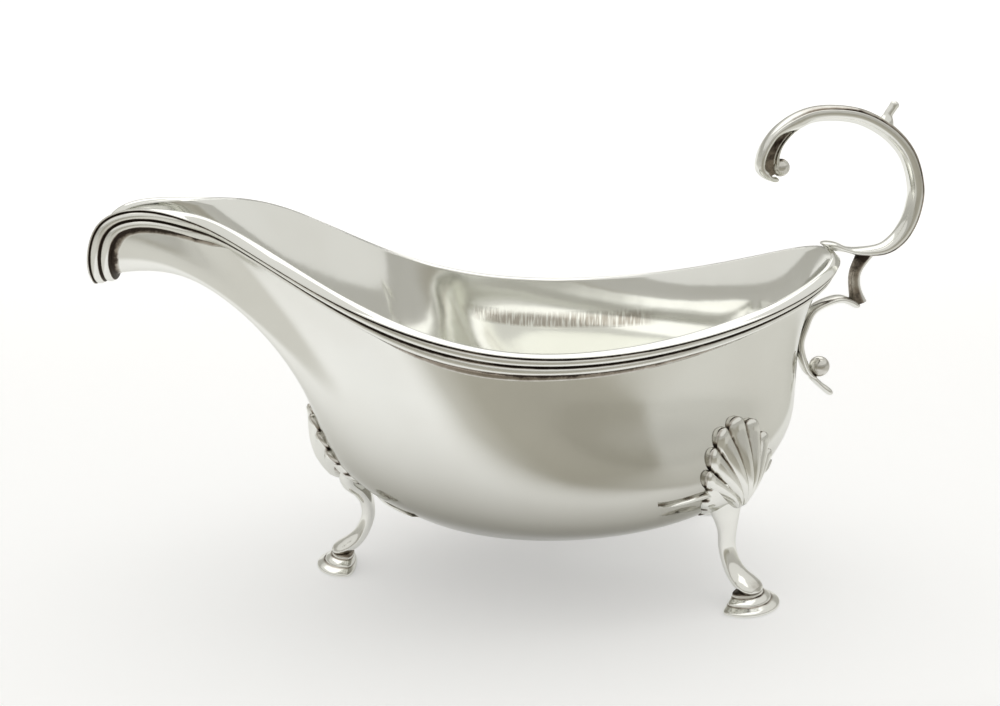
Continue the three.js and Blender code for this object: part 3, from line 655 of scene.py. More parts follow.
@dataclass
class RimWire:
    """Reeded wire under the rim: a broad reed that rolls over the sheet's edge and two narrower ones."""

    hull: Hull
    segments: int = 520
    height_at_lip: float = 5.2
    height_at_side: float = 4.0
    seat: float = 0.45
    web: float = 0.45
    crest: float = 0.60
    shares: Triple = (0.14, 0.42, 0.44)

    OVER_EDGE = ((0.06, -1.5, 0), (0, -1.48, 0), (-0.045, -1.36, 0), (-0.075, -1.12, 0), (-0.088, -0.8, 0),
                 (-0.086, -0.45, 0), (-0.07, -0.1, 0), (-0.045, 0.25, 0), (-0.01, 0.56, 0), (0.03, 0.79, 0),
                 (0.07, 0.92, 0), (0.1, 0.9, 0.4), (0.123, 0.72, 0.9))
    # Foot rows: tarnish and painted shadow under the wire's lower edge.
    FOOT = ((1.03, -0.3, 0.8), (1.11, -0.35, 0.62), (1.2, -0.4, 0.5), (1.27, -0.44, 0.3), (1.3, -0.6, 0))
    GROOVE = 0.92

    def profile(self) -> Array:
        """Depth as a share of the height, stand-off and recess, from inner edge over the reeds to the foot.

        The first reed rolls over the sheet's edge, by the rows of OVER_EDGE. Each of the others stands off by
        the power 0.55 of a sine across it, and sinks into a sharp groove at its sides. FOOT closes the wire,
        with tarnish and painted shadow under its lower edge, where it meets the sheet.

        Returns:
            One row for each place of the profile.
        """
        top = self.shares[0]
        rows = [*self.OVER_EDGE, (top, self.web - 0.2, self.GROOVE)]
        for share in self.shares[1:]:
            across = np.linspace(0.0, 1.0, 15)[1:-1]
            bulge = np.sin(math.pi * across) ** 0.55 * self.crest
            shade = self.GROOVE * fall(np.minimum(across, 1 - across), 0.08, 0.27)
            rows += [(top + a * share, self.web + b, s) for a, b, s in zip(across, bulge, shade)]
            top += share
            rows.append((top, self.web - 0.3, self.GROOVE))
        return np.array(rows + list(self.FOOT))

    def skin(self) -> Skin:
        """Carries the profile round the rim, square to it. The wire is taller under the lip."""
        turns = self.hull.crowded_turns(self.segments, 14.0)
        lip = np.maximum(0, np.cos(FULL_TURN * turns))
        height = self.height_at_side + (self.height_at_lip - self.height_at_side) * lip
        profile = self.profile()
        depths = profile[:, 0:1] * height
        points, normals, _ = self.hull.below_edge(turns, depths)
        rings = points + normals * (self.seat + profile[:, 1])[:, None, None]
        recess = np.repeat(profile[:, 2:3], len(turns), axis=1)
        return lofted(rings.transpose(1, 0, 2), recess.T, capped=False)

    def build(self) -> None:
        """Makes the wire."""
        piece("rim_reeds", self.skin(), Finish.WIRE, "rim_wire")


# Handle

Section = tuple[Array, Array, Array]


def swept(path: Array, section: Callable[[Array], Section]) -> Skin:
    """Carries a section along a path in the plane y = 0.

    Args:
        path: pairs of X and Z.
        section: gives, for shares along the path, how far each point of the section lies across and out,
            and how recessed it is with its painted shade, as share, place in section.

    Returns:
        The closed skin of the sweep.
    """
    shares = np.linspace(0, 1, len(path))
    ahead = tangents(path)
    out = np.stack([-ahead[:, 1], ahead[:, 0]], axis=1)
    across, away, recess = section(shares)
    x = path[:, 0:1] + out[:, 0:1] * away
    z = path[:, 1:2] + out[:, 1:2] * away
    return lofted(np.stack([x, across, z], axis=-1), recess)


def end_taper(share: Array, length: float) -> Array:
    """Rounds both ends of a sweep over a share of its length by quarter circles, down to a seventh."""
    start, end = np.minimum(1, share / length), np.minimum(1, (1 - share) / length)
    return np.sqrt(np.maximum(0.02, start * (2 - start))) * np.sqrt(np.maximum(0.02, end * (2 - end)))


def crested(width: Array, thickness: Array, dark: float = 1.0) -> Section:
    """Section of a scroll: a broad half round, a sharp crest down each side, and a narrower half behind it.

    The broad part is an ellipse from its top down to 17 degrees under its middle. The crest steps in by
    about a tenth, and the narrow part is an ellipse again. Tarnish lies under the crest, and painted shade
    darkens the narrow half behind it.

    Args:
        width: width at each share.
        thickness: thickness at each share.
        dark: how much tarnish lies under the crest and painted shade on the narrow half, from 0 to 1.

    Returns:
        Across, out and recess, as share, place in section.
    """
    broad = np.radians(np.linspace(88.0, -17.0, 17))
    narrow = np.radians(np.linspace(8.0, 86.0, 12))
    u = np.concatenate([np.cos(broad), [0.955, 0.93, 0.875, 0.845], 0.845 * np.cos(narrow)])
    v = np.concatenate([np.sin(broad), [-0.34, -0.385, -0.41, -0.43], -0.44 - 0.46 * np.sin(narrow)])
    # Tarnish under the crest, then painted shade over the whole narrow half.
    shade = np.concatenate([np.zeros(17), [0, 0.2, 0.7, 0.8], 0.36 + 0.26 * fall(np.degrees(narrow), 8, 40)])
    u, v, shade = (np.concatenate([half, sign * half[::-1]]) for half, sign in ((u, -1), (v, 1), (shade, 1)))
    return width[:, None] / 2 * u, thickness[:, None] / 2 * v, np.tile(dark * shade, (len(width), 1))


def rounded(width: Array, thickness: Array) -> Section:
    """Plain oval section, with no recess."""
    angle = round_angles(40, 0.5)
    across, away = np.cos(angle) * width[:, None] / 2, np.sin(angle) * thickness[:, None] / 2
    return across, away, np.zeros_like(across)


def around(centre: Sequence[float], radius: Array | float, degrees: Array | float) -> Array:
    """Points on a circle in the plane y = 0, as pairs of X and Z."""
    angle = np.radians(degrees)
    return np.stack([centre[0] + radius * np.cos(angle), centre[1] + radius * np.sin(angle)], axis=-1)


def ball(centre: Sequence[float], radius: float, dark: float) -> Skin:
    """Sphere on the plane y = 0, as rings of latitude round the Y axis, with tarnish on one side.

    Args:
        centre: its X and Z.
        radius: its radius.
        dark: direction in degrees where the tarnish has gathered.

    Returns:
        The closed skin.
    """
    lat = np.linspace(-0.49 * math.pi, 0.49 * math.pi, 40)[:, None]
    lon = round_angles(56)
    rings = np.stack([centre[0] + radius * np.cos(lat) * np.cos(lon), radius * np.sin(lat) + 0 * lon,
                      centre[1] + radius * np.cos(lat) * np.sin(lon)], axis=-1)
    towards = np.cos(lat) * np.cos(lon - math.radians(dark))
    return lofted(rings, 0.3 + 0.6 * smoothstep(towards, 0.7, 0.97))


@dataclass
class Handle:
    """Flying scroll, its thumb rest and bud, the strut, and the lower scroll with its leaves.

    COURSE, CURL and LOWER_CURL give directions in degrees and shares of a radius. ROOT and LIP give X and Z.
    """

    hull: Hull
    centre: Pair = (75.6, 84.7)
    radius: float = 17.0
    thickness: float = 3.7
    swell: float = 1.1
    width: float = 5.2
    band: float = 2.25
    curl_centre: Pair = (61.75, 89.3)
    curl_radius: float = 3.2
    curl_thickness: float = 1.3
    bud_radius: float = 1.97
    root_lap: float = 1.4
    root_thickness: float = 1.3
    root_width: float = 5.5
    lower_height: float = 44.2
    lower_stand: float = 3.2
    lower_radius: float = 3.3
    lower_thickness: float = 1.6
    lower_width: float = 4.2
    lower_bud_radius: float = 2.35
    lower_dark: float = -127.0
    strut_ends: Triple = (82.0, 80.9, 58.85)

    COURSE = ((-53, 1.01), (-41, 1.045), (-28, 1.04), (-14, 1.02), (0, 1), (25, 0.96), (48, 0.93),
              (74, 0.935), (94, 0.967), (114, 1.04), (126, 1.073), (138, 1.088), (149, 1.091))
    CURL = ((152, 1.26), (184, 1.28), (209, 1.14), (232, 0.98), (260, 0.83))
    ROOT = ((0.6, -0.3), (3.3, -1.4), (6.5, -1.95))
    LIP = ((66.5, 98.35), (63.45, 96.1), (61.8, 93.9), (61.2, 91.9), (61.3, 90.2), (61.6, 88.6))
    LOWER_CURL = ((176, 1.05), (205, 0.87), (232, 0.8), (256, 0.78))

    def scroll_point(self, degrees: Array | float) -> Array:
        """Point of the main arc: an egg whose radius runs straight between the stations of its course."""
        course = np.array(self.COURSE)
        return around(self.centre, self.radius * np.interp(degrees, course[:, 0], course[:, 1]), degrees)

    def scroll_path(self, shares: Array) -> Array:
        """Root over the rim, the arc, and the curl, on one spline."""
        back = self.hull.point(0.5, 1.0)
        lining = back - self.hull.wall * self.hull.frame(np.array(0.5), np.array(1.0))[3]
        height = max(back[2], lining[2]) + 0.3 + self.root_thickness / 2
        root = np.array(self.ROOT) + [back[0], height]
        course, curl = np.array(self.COURSE), np.array(self.CURL)
        start = [[back[0] - self.hull.wall - self.root_lap, height]]
        bend = around(self.curl_centre, self.curl_radius * curl[:, 1], curl[:, 0])
        return spline(np.vstack([start, root, self.scroll_point(course[:, 0]), bend]), shares)

    def scroll_size(self, share: Array) -> tuple[Array, Array]:
        """Width and thickness: thin at the root, swollen past the crown, and thin again at the curl."""
        rise = smoothstep(share, 0.07, 0.27)
        body = (self.root_thickness + (self.thickness - self.root_thickness) * rise
                + self.swell * smoothstep(share, 0.62, 0.76))
        thick = body + (self.curl_thickness - body) * smoothstep(share, 0.77, 0.95)
        return self.root_width + (self.width - self.root_width) * smoothstep(rise, 0, 1), thick

    def scroll_section(self, share: Array) -> Section:
        """Crested scroll that sits down on the rim at its root. Past the crown it thins to a band outside."""
        width, thick = self.scroll_size(share)
        slim = np.minimum(thick, thick + (self.band - thick) * smoothstep(share, 0.655, 0.745))
        taper = end_taper(share, 0.03)
        across, away, recess = crested(0.985 * width * taper, 0.985 * slim * taper)
        away = away - 0.45 * ((thick - slim) * taper)[:, None]
        saddle = 1.4 * smoothstep(share, 0.006, 0.03) * fall(share, 0.05, 0.1)
        away = np.where(away < 0, away * (1 + saddle[:, None]), away)
        fade = 1 - 0.75 * smoothstep(share, 0.6, 0.72) - 0.6 * fall(share, 0.1, 0.2)
        return across, away, recess * np.clip(fade, 0.25, 1)[:, None]

    def hollow(self) -> Skin:
        """Sunk web between the band and a thin inner lip, which runs down to the bud.

        The web's half thickness is even, and rises to a bead at the lip by the root of a parabola. The web
        carries tarnish, painted shade and a painted brown reflection; the lip stays clean.

        Returns:
            The closed skin of web and lip.
        """
        t = np.linspace(0, 1, 90)
        path, lip = self.scroll_path(0.665 + 0.26 * t), spline(self.LIP, t)
        across = np.concatenate([np.linspace(0, 0.6, 14), np.linspace(0.64, 1.0, 16)])
        bead = np.sqrt(np.clip(1 - ((across - 0.86) / 0.145) ** 2, 0.02, 1))
        half = 0.55 + 1.15 * bead * smoothstep(across, 0.62, 0.8)
        half[-1] = 0.25
        grow = (0.35 + 0.65 * smoothstep(t, 0.0, 0.25))[:, None]
        x, z = np.moveaxis(path[:, None, :] + (lip - path)[:, None, :] * across[None, :, None], -1, 0)
        near, far = (np.stack([x, side * grow * half, z], axis=-1) for side in (-1, 1))
        # Tarnish, painted shade and a painted brown reflection over the sunk web.
        shade = np.repeat((0.72 * fall(across, 0.6, 0.74))[None, :], len(t), axis=0)
        return slab(near, far, shade, shade)

    def stalk(self, start: Sequence[float], degrees: float, length: float, bend: float,
              widths: Sequence[float], flat: float) -> Skin:
        """Stalk with round ends that bends half way along.

        Args:
            start: X and Z of its foot.
            degrees: direction of its first half.
            length: length along both halves.
            bend: turn between the halves, in degrees.
            widths: how thick it is at five even places.
            flat: how many times as wide as thick it is.

        Returns:
            The closed skin of the stalk.
        """
        step = length / 4
        middle = around(start, 2 * step, degrees)
        stops = [start, around(start, step, degrees), middle, around(middle, step, degrees + bend),
                 around(middle, 2 * step, degrees + bend)]

        def section(share: Array) -> Section:
            """Follows the given widths by a spline and rounds off at both ends."""
            thick = spline([[width] for width in widths], share)[:, 0] * end_taper(share, 0.16)
            return rounded(flat * thick, thick)

        return swept(spline(stops, np.linspace(0, 1, 70)), section)

    def strut_path(self) -> Array:
        """From the underside of the main scroll down to the crown of the lower one."""
        shares, (top_x, foot_x, foot_z) = np.linspace(0, 0.4, 400), self.strut_ends
        path = self.scroll_path(shares)
        near = np.argmin(np.abs(path[:, 0] - top_x))
        top = path[near, 1] - self.scroll_size(shares[near])[1] / 2 + 1
        waist = (top + foot_z) / 2
        stops = [[top_x, top], [79.9, waist + 1.2], [79.9, waist - 1.8], [foot_x, foot_z]]
        return spline(stops, np.linspace(0, 1, 80))

    def strut_section(self, share: Array) -> Section:
        """Flares at both ends by the cube of the distance from its middle. Its outer side is rubbed clean."""
        off_middle = np.abs(2 * share - 1)
        flare = 1 + 0.6 * off_middle ** 3
        across, away, _ = rounded(3.4 * (0.8 + 0.2 * flare), 2.5 * flare)
        toned = 1 - 0.8 * smoothstep(away / np.abs(away).max(axis=1, keepdims=True), 0.2, 0.7)
        return across, away, (0.5 + 0.38 * off_middle ** 2)[:, None] * toned

    def lower_centre(self) -> Pair:
        """Centre of the lower curl."""
        back = float(self.hull.back_x(self.lower_height))
        return back + self.lower_stand + self.lower_radius, self.lower_height

    def lower_path(self) -> Array:
        """Tip, crown, down the back of the hull and round the curl."""
        back = self.hull.back_x
        points = [[81.3, 57.9], [78.8, 59.2904352], [76.3, 59.8]]
        points += [[back(z) + stand, z] for z, stand in ((57.3, 2.5), (53.4, 1.6), (49.5, 1.3))]
        curl = np.array(self.LOWER_CURL)
        bend = around(self.lower_centre(), self.lower_radius * curl[:, 1], curl[:, 0])
        return spline(np.vstack([points, bend]), np.linspace(0, 1, 260))

    def lower_section(self, share: Array) -> Section:
        """Strap that broadens towards its middle, thins into the curl and rounds off at both ends."""
        broad = 1 + 0.2 * np.sin(math.pi * share)
        thin = 1 - 0.5 * smoothstep(share, 0.7, 1.0)
        taper = end_taper(share, 0.05)
        return crested(self.lower_width * broad * taper, self.lower_thickness * broad * thin * taper, 0.6)

    def thumb(self) -> Skin:
        """Thumb rest: a stalk that flares into the arc and ends in a knob."""
        return self.stalk(self.scroll_point(56.0), 74.0, 6.2, -16.0, (4.2, 3.2, 1.9, 1.9, 2.3), 1.0)

    def tail(self) -> Skin:
        """Leaf that passes close under the lower bud."""
        beside = around(self.lower_centre(), 2.85, self.lower_dark)
        return self.stalk(around(beside, 0.78, 143.0), -42.0, 7.5, 4.0, (1.2, 1.4, 1.4, 1.55, 1.5), 1.8)

    def drop(self) -> Skin:
        """Leaf on the back of the hull: a shallow dome across, and a sine along."""
        share, a = grid(50, 25)
        z = 47.5 - 9.5 * share + 0 * a
        half = 2.1 * np.maximum(0.04, np.sin(math.pi * (0.2 + 0.78 * share)) ** 0.8)
        surface = self.hull.back_x(z)
        front = np.stack([surface + 0.1 + 1.1 * (1 - 0.7 * a * a), a * half, z], axis=-1)
        back = np.stack([surface - 0.6, a * half, z], axis=-1)
        shade = np.repeat(smoothstep(np.abs(a), 0.7, 1.0), len(share), axis=0)
        return slab(front, back, shade, np.ones_like(shade))

    def build(self) -> None:
        """Makes every piece of the handle."""
        main = swept(self.scroll_path(np.linspace(0, 1, 620)), self.scroll_section)
        lower_bud = ball(self.lower_centre(), self.lower_bud_radius, self.lower_dark)
        for name, skin, node in (
                ("scroll", main.joined(self.hollow()), "handle_scroll"),
                ("scroll_end_bud", ball(self.curl_centre, self.bud_radius, 100.0), "scroll_bud"),
                ("thumb_leaf", self.thumb(), "thumb_rest"),
                ("strut", swept(self.strut_path(), self.strut_section), "handle_strut"),
                ("lower_strap", swept(self.lower_path(), self.lower_section), "lower_scroll"),
                ("lower_bud", lower_bud, "lower_scroll_bud"),
                ("tail", self.tail(), "tail_leaf"),
                ("drop", self.drop(), "drop_leaf")):
            piece(name, skin, Finish.CAST, node)


# Legs


@dataclass
class Leg:
    """One cabriole leg with its pad foot, knee plate, scallop shell and side tongues.

    Its own directions are out from the bowl, to the side and up. Angles are in degrees.
    """

    hull: Hull
    prefix: str
    foot: Triple
    facing: float
    lean: float
    knee_out: float
    shell_stand: float
    tongue_rise: float
    knee: float = 20.6
    shank_out: float = -7.2
    pad_front: float = 6.5
    pad_back: float = 2.5
    pad_half_width: float = 8.2
    pad_height: float = 3.3
    shell_length: float = 20.6
    shell_spread: float = 53.0
    ribs: int = 7
    starts: tuple[Array, Array] = field(init=False)

    ASIDE = np.linspace(-27, 27, 61)
    HEIGHT = np.linspace(8, 46, 45)
    PAD = ((0, 0.93, 0, 0.35), (0.03, 0.965, 0, 0.1), (0.08, 0.995, 0, 0), (0.16, 1, 0, 0),
           (0.25, 0.985, 0.02, 0), (0.32, 0.94, 0.05, 0), (0.39, 0.875, 0.1, 0.05), (0.45, 0.815, 0.15, 0.3),
           (0.475, 0.785, 0.18, 0.5), (0.5, 0.765, 0.19, 0.45), (0.56, 0.755, 0.2, 0.15),
           (0.63, 0.735, 0.21, 0), (0.71, 0.69, 0.24, 0), (0.78, 0.635, 0.27, 0.1), (0.83, 0.59, 0.3, 0.4),
           (0.85, 0.565, 0.33, 0.6), (0.89, 0.55, 0.35, 0.4), (0.95, 0.545, 0.37, 0.15),
           (1.04, 0.53, 0.4, 0.6))

    def __post_init__(self) -> None:
        """Finds the hull sample nearest to each place of a coarse grid, for Newton searches to start at."""
        turn, level = np.meshgrid(np.linspace(0, 1, 181)[:-1], np.linspace(0.08, 0.9, 50), indexing="ij")
        point, _, _, normal = self.hull.frame(turn, level)
        facing = self.turned(normal)[0] > 0.05
        aside = self.turned(point - self.foot)[1]
        goal = np.stack(np.meshgrid(self.ASIDE, self.HEIGHT, indexing="ij"), axis=-1)
        local = np.stack([aside[facing], point[facing][:, 2]], axis=-1)
        nearest = np.argmin(((goal[:, :, None, :] - local) ** 2).sum(axis=3), axis=2)
        self.starts = (turn[facing][nearest], level[facing][nearest])

    def turned(self, vector: Array) -> tuple[Array, Array]:
        """How far vectors point out of the leg, and to its side."""
        c, s = math.cos(math.radians(self.facing)), math.sin(math.radians(self.facing))
        return vector[..., 0] * c + vector[..., 1] * s, vector[..., 1] * c - vector[..., 0] * s

    def to_world(self, out: Array, aside: Array, z: Array) -> Array:
        """Turns distances out, to the side and up into points."""
        c, s = math.cos(math.radians(self.facing)), math.sin(math.radians(self.facing))
        return np.stack(np.broadcast_arrays(out * c - aside * s, out * s + aside * c, z), axis=-1) + self.foot

    def reach(self, aside: Array | float, z: Array | float) -> Array:
        """How far the hull reaches out at a place to the side and a height.

        A Newton search for the turn and level of that place starts at the nearest sample.
        """
        aside, z = np.broadcast_arrays(np.asarray(aside, float), np.asarray(z, float))
        near = []
        for place, stops in ((aside, self.ASIDE), (z, self.HEIGHT)):
            index = np.rint((place.ravel() - stops[0]) / (stops[1] - stops[0]))
            near.append(np.clip(index, 0, len(stops) - 1).astype(int))
        turn, level = (start[tuple(near)] for start in self.starts)
        for _ in range(6):
            point, by_turn, by_level, _ = self.hull.frame(turn, level)
            miss_a, miss_z = aside.ravel() - self.turned(point - self.foot)[1], z.ravel() - point[:, 2]
            turn_a, level_a = self.turned(by_turn)[1], self.turned(by_level)[1]
            turn_z, level_z = by_turn[:, 2], by_level[:, 2]
            det = turn_a * level_z - level_a * turn_z
            det = np.where(np.abs(det) < 1e-6, 1e-6, det)
            turn = turn + np.clip((miss_a * level_z - level_a * miss_z) / det, -0.02, 0.02)
            climb = np.clip((turn_a * miss_z - turn_z * miss_a) / det, -0.03, 0.03)
            level = np.clip(level + climb, 0.02, 0.99)
        return self.turned(self.hull.point(turn, level) - self.foot)[0].reshape(aside.shape)

    def limb(self) -> Skin:
        """Cabriole: an ellipse carried along a spline from the toe's nose up the shank and into the knee.

        Each station gives the path's distance out and height, then thickness and width. What would lie
        deeper in the hull than half its wall is pushed out to there.
        """
        shank = lambda share: self.shank_out + (self.knee_out - self.shank_out) * share
        at_knee, over_knee, at_top = (float(self.reach(0.0, self.knee + rise)) for rise in (0.0, 2.76, 8.0))
        wing = self.knee_out + 0.45 * (over_knee - at_knee)
        stations = np.array([
            [1.25, 3.75, 0.35, 1.2], [0.7, 3.85, 1.6, 4.6], [-0.4, 4.15, 2.5, 6.6], [-1.9, 4.75, 3.1, 7.0],
            [-3.5, 5.6, 3.35, 6.3], [-4.9, 6.9, 3.25, 5.5], [-6.1, 8.8, 3.1, 5.0],
            [-7.15, 11.9, 3.0, 4.9], [shank(0.1), 15.54, 3.3, 5.64], [shank(0.45), 18.208, 4.004, 7.708],
            [self.knee_out, 20.6, 4.68, 10.34], [wing - 0.9, 23.36, 4.6, 12.0],
            [at_top - 3.4, 28.6, 4.4, 10.5]])
        share = np.linspace(0, 1, 150)
        path = spline(stations[:, :2], share)
        size = np.maximum(spline(stations[:, 2:], share, 0.0), 0.3)
        ahead = tangents(path)
        angle = round_angles(52)
        across = size[:, 1:2] / 2 * np.cos(angle)
        through = size[:, 0:1] / 2 * np.sin(angle)
        out, z = path[:, 0:1] + ahead[:, 1:2] * through, path[:, 1:2] - ahead[:, 0:1] * through
        deepest = self.reach(across, z) - self.hull.wall / 2
        rings = self.to_world(np.where(z > self.knee - 4, np.maximum(out, deepest), out), across, z)
        under = smoothstep(np.sin(angle), 0.2, 0.95) * fall(share, 0.1, 0.34)[:, None]
        return lofted(rings, 0.3 * under * np.ones_like(angle))

    def pad(self) -> Skin:
        """Stepped pad foot: half ovals, flatter behind, stacked with their back edge upright.

        Each row of PAD gives height, size and shift backwards as shares, and recess.
        """
        fine = spline(self.PAD, np.linspace(0, 1, 120))
        height, size, shift, shade = (fine[:, k:k + 1] for k in range(4))
        angle = round_angles(72)
        reach = np.where(np.cos(angle) > 0, self.pad_front, self.pad_back)
        rings = self.to_world(-1.85 - 1.5 * shift + reach * size * np.cos(angle),
                              self.pad_half_width * size * np.sin(angle), self.pad_height * height)
        return lofted(rings, np.repeat(np.clip(shade, 0, 1), angle.size, axis=1))

    def plate(self) -> Skin:
        """Plain shoulder of the knee under the shell: a low dome over the hull between two slanting edges."""
        b, a = grid(60, 61)
        aside = a * (4.6 + 5.2 * smoothstep(b, 0.0, 0.55) ** 0.8)
        z = self.knee - 0.9 + 8.4 * b - 0.8 * np.abs(a) ** 2 * (1 - b)
        out = self.reach(aside, z)
        lift = 0.35 + 1.75 * (1 - np.abs(a) ** 6) ** 0.5 * smoothstep(b, -0.15, 0.25)
        shade = smoothstep(np.abs(a), 0.93, 0.99) * (0.1 + 0.9 * np.sin(11 * b + 1.0) ** 8)
        return slab(self.to_world(out + lift, aside, z), self.to_world(out - 0.6, aside, z), shade, shade)

    def shell_top(self) -> float:
        """Height at which the shell's length is used up along the leaning hull."""
        z = self.knee + np.arange(0, self.shell_length + 0.5, 0.5)
        out = self.reach(0.0, z)
        enough = np.hypot(out - out[0], z - self.knee) >= self.shell_length
        return float(z[np.argmax(enough)] if enough.any() else z[-1])

    def shell(self) -> Skin:
        """Scallop: rays from a hinge below, domed over the hull, ridged by a rectified cosine across them.

        Grooves between the ribs run out into punched pits just inside the notches of the edge.
        """
        rise = (self.shell_top() - self.knee) / self.shell_length
        turn = np.linspace(-1, 1, 239)[:, None]
        share = np.concatenate([np.linspace(0.08, 0.86, 44), np.linspace(0.875, 1.0, 16)])[None, :]
        angle = math.radians(self.shell_spread) * turn
        leaning = angle + math.radians(self.lean)
        rib = np.abs(np.cos(math.pi * self.ribs * turn / 2))
        reach = 0.66 + 0.34 * np.maximum(0, np.cos(1.45 * angle)) ** 2.2
        length = self.shell_length * reach * (0.88 + 0.12 * rib ** 0.5)
        sideways = 0.62 + 0.38 * np.cos(angle)
        pit = np.exp(-((share - 0.86) / 0.05) ** 2) * fall(rib, 0.0, 0.42)

        aside = length * share * np.sin(leaning)
        z = self.knee + length * share * np.cos(leaning) * rise
        out = self.reach(aside, z)
        dome = 0.6 + (self.shell_stand - 0.6) * (1 - share) * sideways
        ridge = 0.85 * (rib ** 0.7 - 0.6) * np.sqrt(share) * (0.4 + 0.6 * smoothstep(share, 0.1, 0.45))
        curled = 0.28 * smoothstep(share, 0.86, 0.95) * fall(share, 0.965, 1.0) * rib
        lift = np.maximum(0.3 + dome + ridge + curled - 0.75 * pit, 0.12)
        deeper = 0.35 * smoothstep(share, 0.12, 0.3) + 0.5 * smoothstep(share, 0.5, 0.8)
        groove = fall(rib, 0.04, 0.36) * deeper
        notch = fall(rib, 0.08, 0.5)
        rim = (0.42 + 0.5 * notch) * smoothstep(share, 0.98, 1.0)
        shade = np.clip(np.maximum(np.maximum(0.8 * groove, rim), 1.15 * pit), 0, 1)
        behind = (0.16 + 0.84 * notch ** 2) * np.ones_like(share)
        return slab(self.to_world(out + lift, aside, z), self.to_world(out - 0.7, aside, z), shade, behind)

    def tongue(self, side: int) -> Skin:
        """Pointed tongue along the hull: a ridge across, a sine along, and a slight wave like a flame's."""
        share, a = grid(80, 25)
        aside = side * (6.0 + 15.0 * share)
        half = 0.8 * np.maximum(0.03, np.sin(math.pi * (0.3 + 0.68 * share)) ** 0.8)
        half = half * (1 + 0.18 * np.sin(9 * share))
        z = self.knee + self.tongue_rise + 0.3 * np.sin(2 * math.pi * share) * share + a * half
        out = self.reach(aside, z)
        lift = 0.25 + 1.0 * (1 - np.abs(a) ** 1.5 * 0.95)
        edge = smoothstep(np.abs(a), 0.7, 0.97) * (0.2 + 0.5 * np.sin(7.5 * share + 0.6) ** 4)
        return slab(self.to_world(out + lift, aside, z), self.to_world(out - 0.6, aside, z), edge,
                    np.full_like(edge, 0.3))

    def build(self) -> None:
        """Makes the leg and all that is soldered to it."""
        limb = self.limb().joined(self.pad()).joined(self.plate())
        for name, skin, node in (
                ("limb", limb, "leg"), ("shell", self.shell(), "knee_shell"),
                ("tongue_near", self.tongue(-1), "tongue_a"), ("tongue_far", self.tongue(1), "tongue_b")):
            piece(f"{self.prefix}_{name}", skin, Finish.CAST, f"{self.prefix}_{node}")


# Studio


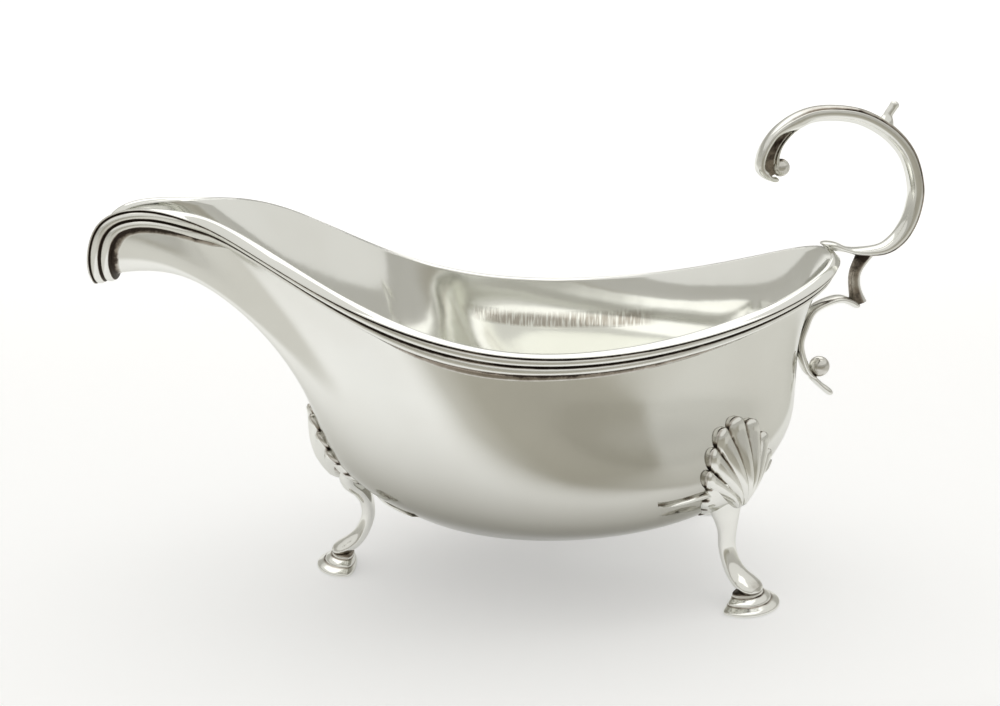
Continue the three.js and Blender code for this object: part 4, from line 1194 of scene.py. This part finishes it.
@dataclass
class Studio:
    """Pale floor, one soft lamp, a white room, and the camera at the photograph's angle."""

    azimuth: float = -5.0
    elevation: float = 13.5
    distance: float = 311.1
    target: Triple = (MODEL_SHIFT, 0.0, 48.8)
    focal_px: float = 1400.0
    width_px: float = 1000.0
    white: Colour = (0.68, 0.68, 0.675, 1.0)
    # Painted shade on the table, for the silver to mirror.
    front_painted_shade: Colour = (0.77, 0.765, 0.74, 1.0)
    wall_painted_shade: Colour = (0.66, 0.655, 0.635, 1.0)
    horizon_painted_shade: Colour = (0.45, 0.43, 0.375, 1.0)
    near_glow: Colour = (0.35, 0.35, 0.355, 1.0)
    far_glow: Colour = (0.54, 0.54, 0.545, 1.0)
    table_radius: float = 1.1
    wall_size: float = 0.9
    lamp_size: float = 1.5
    lamp_watts: float = 4.2

    def camera(self) -> None:
        """Camera whose lens gives the focal length in pixels over the picture's width."""
        a, e = math.radians(self.azimuth), math.radians(self.elevation)
        back = Vector((math.sin(a) * math.cos(e), -math.cos(a) * math.cos(e), math.sin(e)))
        data = bpy.data.cameras.new("camera")
        data.sensor_width = 36.0
        data.lens = 36.0 * self.focal_px / self.width_px
        data.clip_start, data.clip_end = 0.01, 20.0
        right = Vector((math.cos(a), math.sin(a), 0.0))
        turn = Matrix((right, back.cross(right), back)).transposed()
        made = linked("camera", data)
        place = (Vector(self.target) + back * self.distance) * MM
        made.matrix_world = Matrix.Translation(place) @ turn.to_4x4()
        bpy.context.scene.camera = made

    def floor_material(self) -> bpy.types.Material:
        """Matt table: a grey wedge of painted shade before the boat, darker straight ahead, and a white wedge
        behind it.

        The silver mirrors both, so the painted shade darkens its reflections. The white part is also lit a
        little from within, more towards the wall.

        Returns:
            The finished material.
        """
        bench = Bench.start(bpy.data.materials.new("table_white"))
        place = bench.place()
        side, back, rise = (bench.axis(place, axis) for axis in range(3))
        off, ahead = side - 0.0875 * back, side + 0.27 * back
        # Painted shade: grey front and wall, and a darker band straight ahead, which the silver mirrors.
        band = (-1.12 * back - ahead.larger(-1.0 * ahead)).step(-0.04, 0.16) * (1 - rise.step(0.08, 0.4))
        grey = bench.blend(rise.step(0.1, 0.3), self.front_painted_shade, self.wall_painted_shade)
        grey = bench.blend(band, grey, self.horizon_painted_shade)
        behind = back.step(-0.125, -0.07) * (0.36 * back - off.larger(-1.0 * off)).step(-0.15, -0.12)
        behind = behind * (1 - rise.step(0.2, 0.45))
        glow = bench.blend(back.step(0.1, 0.9), self.near_glow, self.far_glow)
        lit = bench.blend(behind, (0.0, 0.0, 0.0, 1.0), glow)
        return bench.finish({"Base Color": bench.blend(behind, grey, self.white), "Roughness": 0.6,
                             "Emission Color": lit, "Emission Strength": 1.0})

    def floor(self) -> None:
        """Round table that curves up by a quarter circle into a wall."""
        arc, flat = np.linspace(0.05, math.pi / 2, 16), np.linspace(0.02, self.table_radius, 12)
        along = np.concatenate([flat, self.table_radius + self.wall_size * np.sin(arc)])[:, None]
        rise = np.concatenate([0 * flat, self.wall_size * (1 - np.cos(arc))])[:, None]
        angle = round_angles(96)
        points = np.stack([along * np.cos(angle), along * np.sin(angle), rise + 0 * angle], axis=-1)
        index = np.arange(points[..., 0].size).reshape(-1, angle.size)
        mesh = smooth_mesh("table", points.reshape(-1, 3), strips(index[::-1]), index[:1])
        mesh.materials.append(self.floor_material())
        linked("table", mesh)

    def lamp(self, place: Triple, aim: Triple) -> None:
        """Square soft box over the boat, in metres and watts, aimed at a point."""
        data = bpy.data.lights.new("overhead", "AREA")
        data.size, data.energy = self.lamp_size, self.lamp_watts
        made = linked("overhead", data)
        made.location = place
        made.rotation_euler = (Vector(aim) - Vector(place)).to_track_quat("-Z", "Y").to_euler()

    def surroundings(self) -> None:
        """White room, a little darker from the horizon down, for the silver to mirror."""
        stops = [(at, (grey, grey * 0.99, grey * 0.945, 1.0))
                 for at, grey in ((0.0, 0.70), (0.5, 0.70), (0.62, 0.74), (0.8, 0.76), (1.0, 0.78))]
        bench = Bench.start(bpy.data.worlds.new("white_room"))
        height = bench.axis(bench.place("Generated"), 2)
        share = bench.node("ShaderNodeMapRange", {}, {"Value": height, "From Min": -1.0})
        room = bench.node("ShaderNodeValToRGB", {"stops": stops}, {0: share})
        light = bench.node("ShaderNodeBackground", {}, {"Color": room, "Strength": 1.0})
        bench.node("ShaderNodeOutputWorld", {}, {"Surface": light}, None)
        bpy.context.scene.world = bench.owner

    def build(self) -> None:
        """Sets up the whole studio."""
        self.camera()
        self.floor()
        self.surroundings()
        self.lamp((0.0, 0.45, 1.1), (0.0, 0.1, 0.0))
        bpy.context.scene.view_settings.view_transform = "Standard"


def main() -> None:
    """Builds the studio, then the boat from the bowl out to its feet."""
    logging.basicConfig(level=logging.INFO, format="%(name)s: %(message)s")
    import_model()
    Studio().build()
    hull = Hull()
    Bowl(hull).build()
    RimWire(hull).build()
    Handle(hull).build()
    Leg(hull, "front", (-37.1, 0.0, 0.0), 180.0, lean=0.0, knee_out=-3.4, shell_stand=6.7,
        tongue_rise=-2.0).build()
    for side, prefix in ((-1, "rear_left"), (1, "rear_right")):
        Leg(hull, prefix, (51.2, 31.4 * side, 0.0), 46.0 * side, lean=3.0 * side, knee_out=-7.8,
            shell_stand=4.8, tongue_rise=5.0).build()
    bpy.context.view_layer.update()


if __name__ == "__main__":
    main()
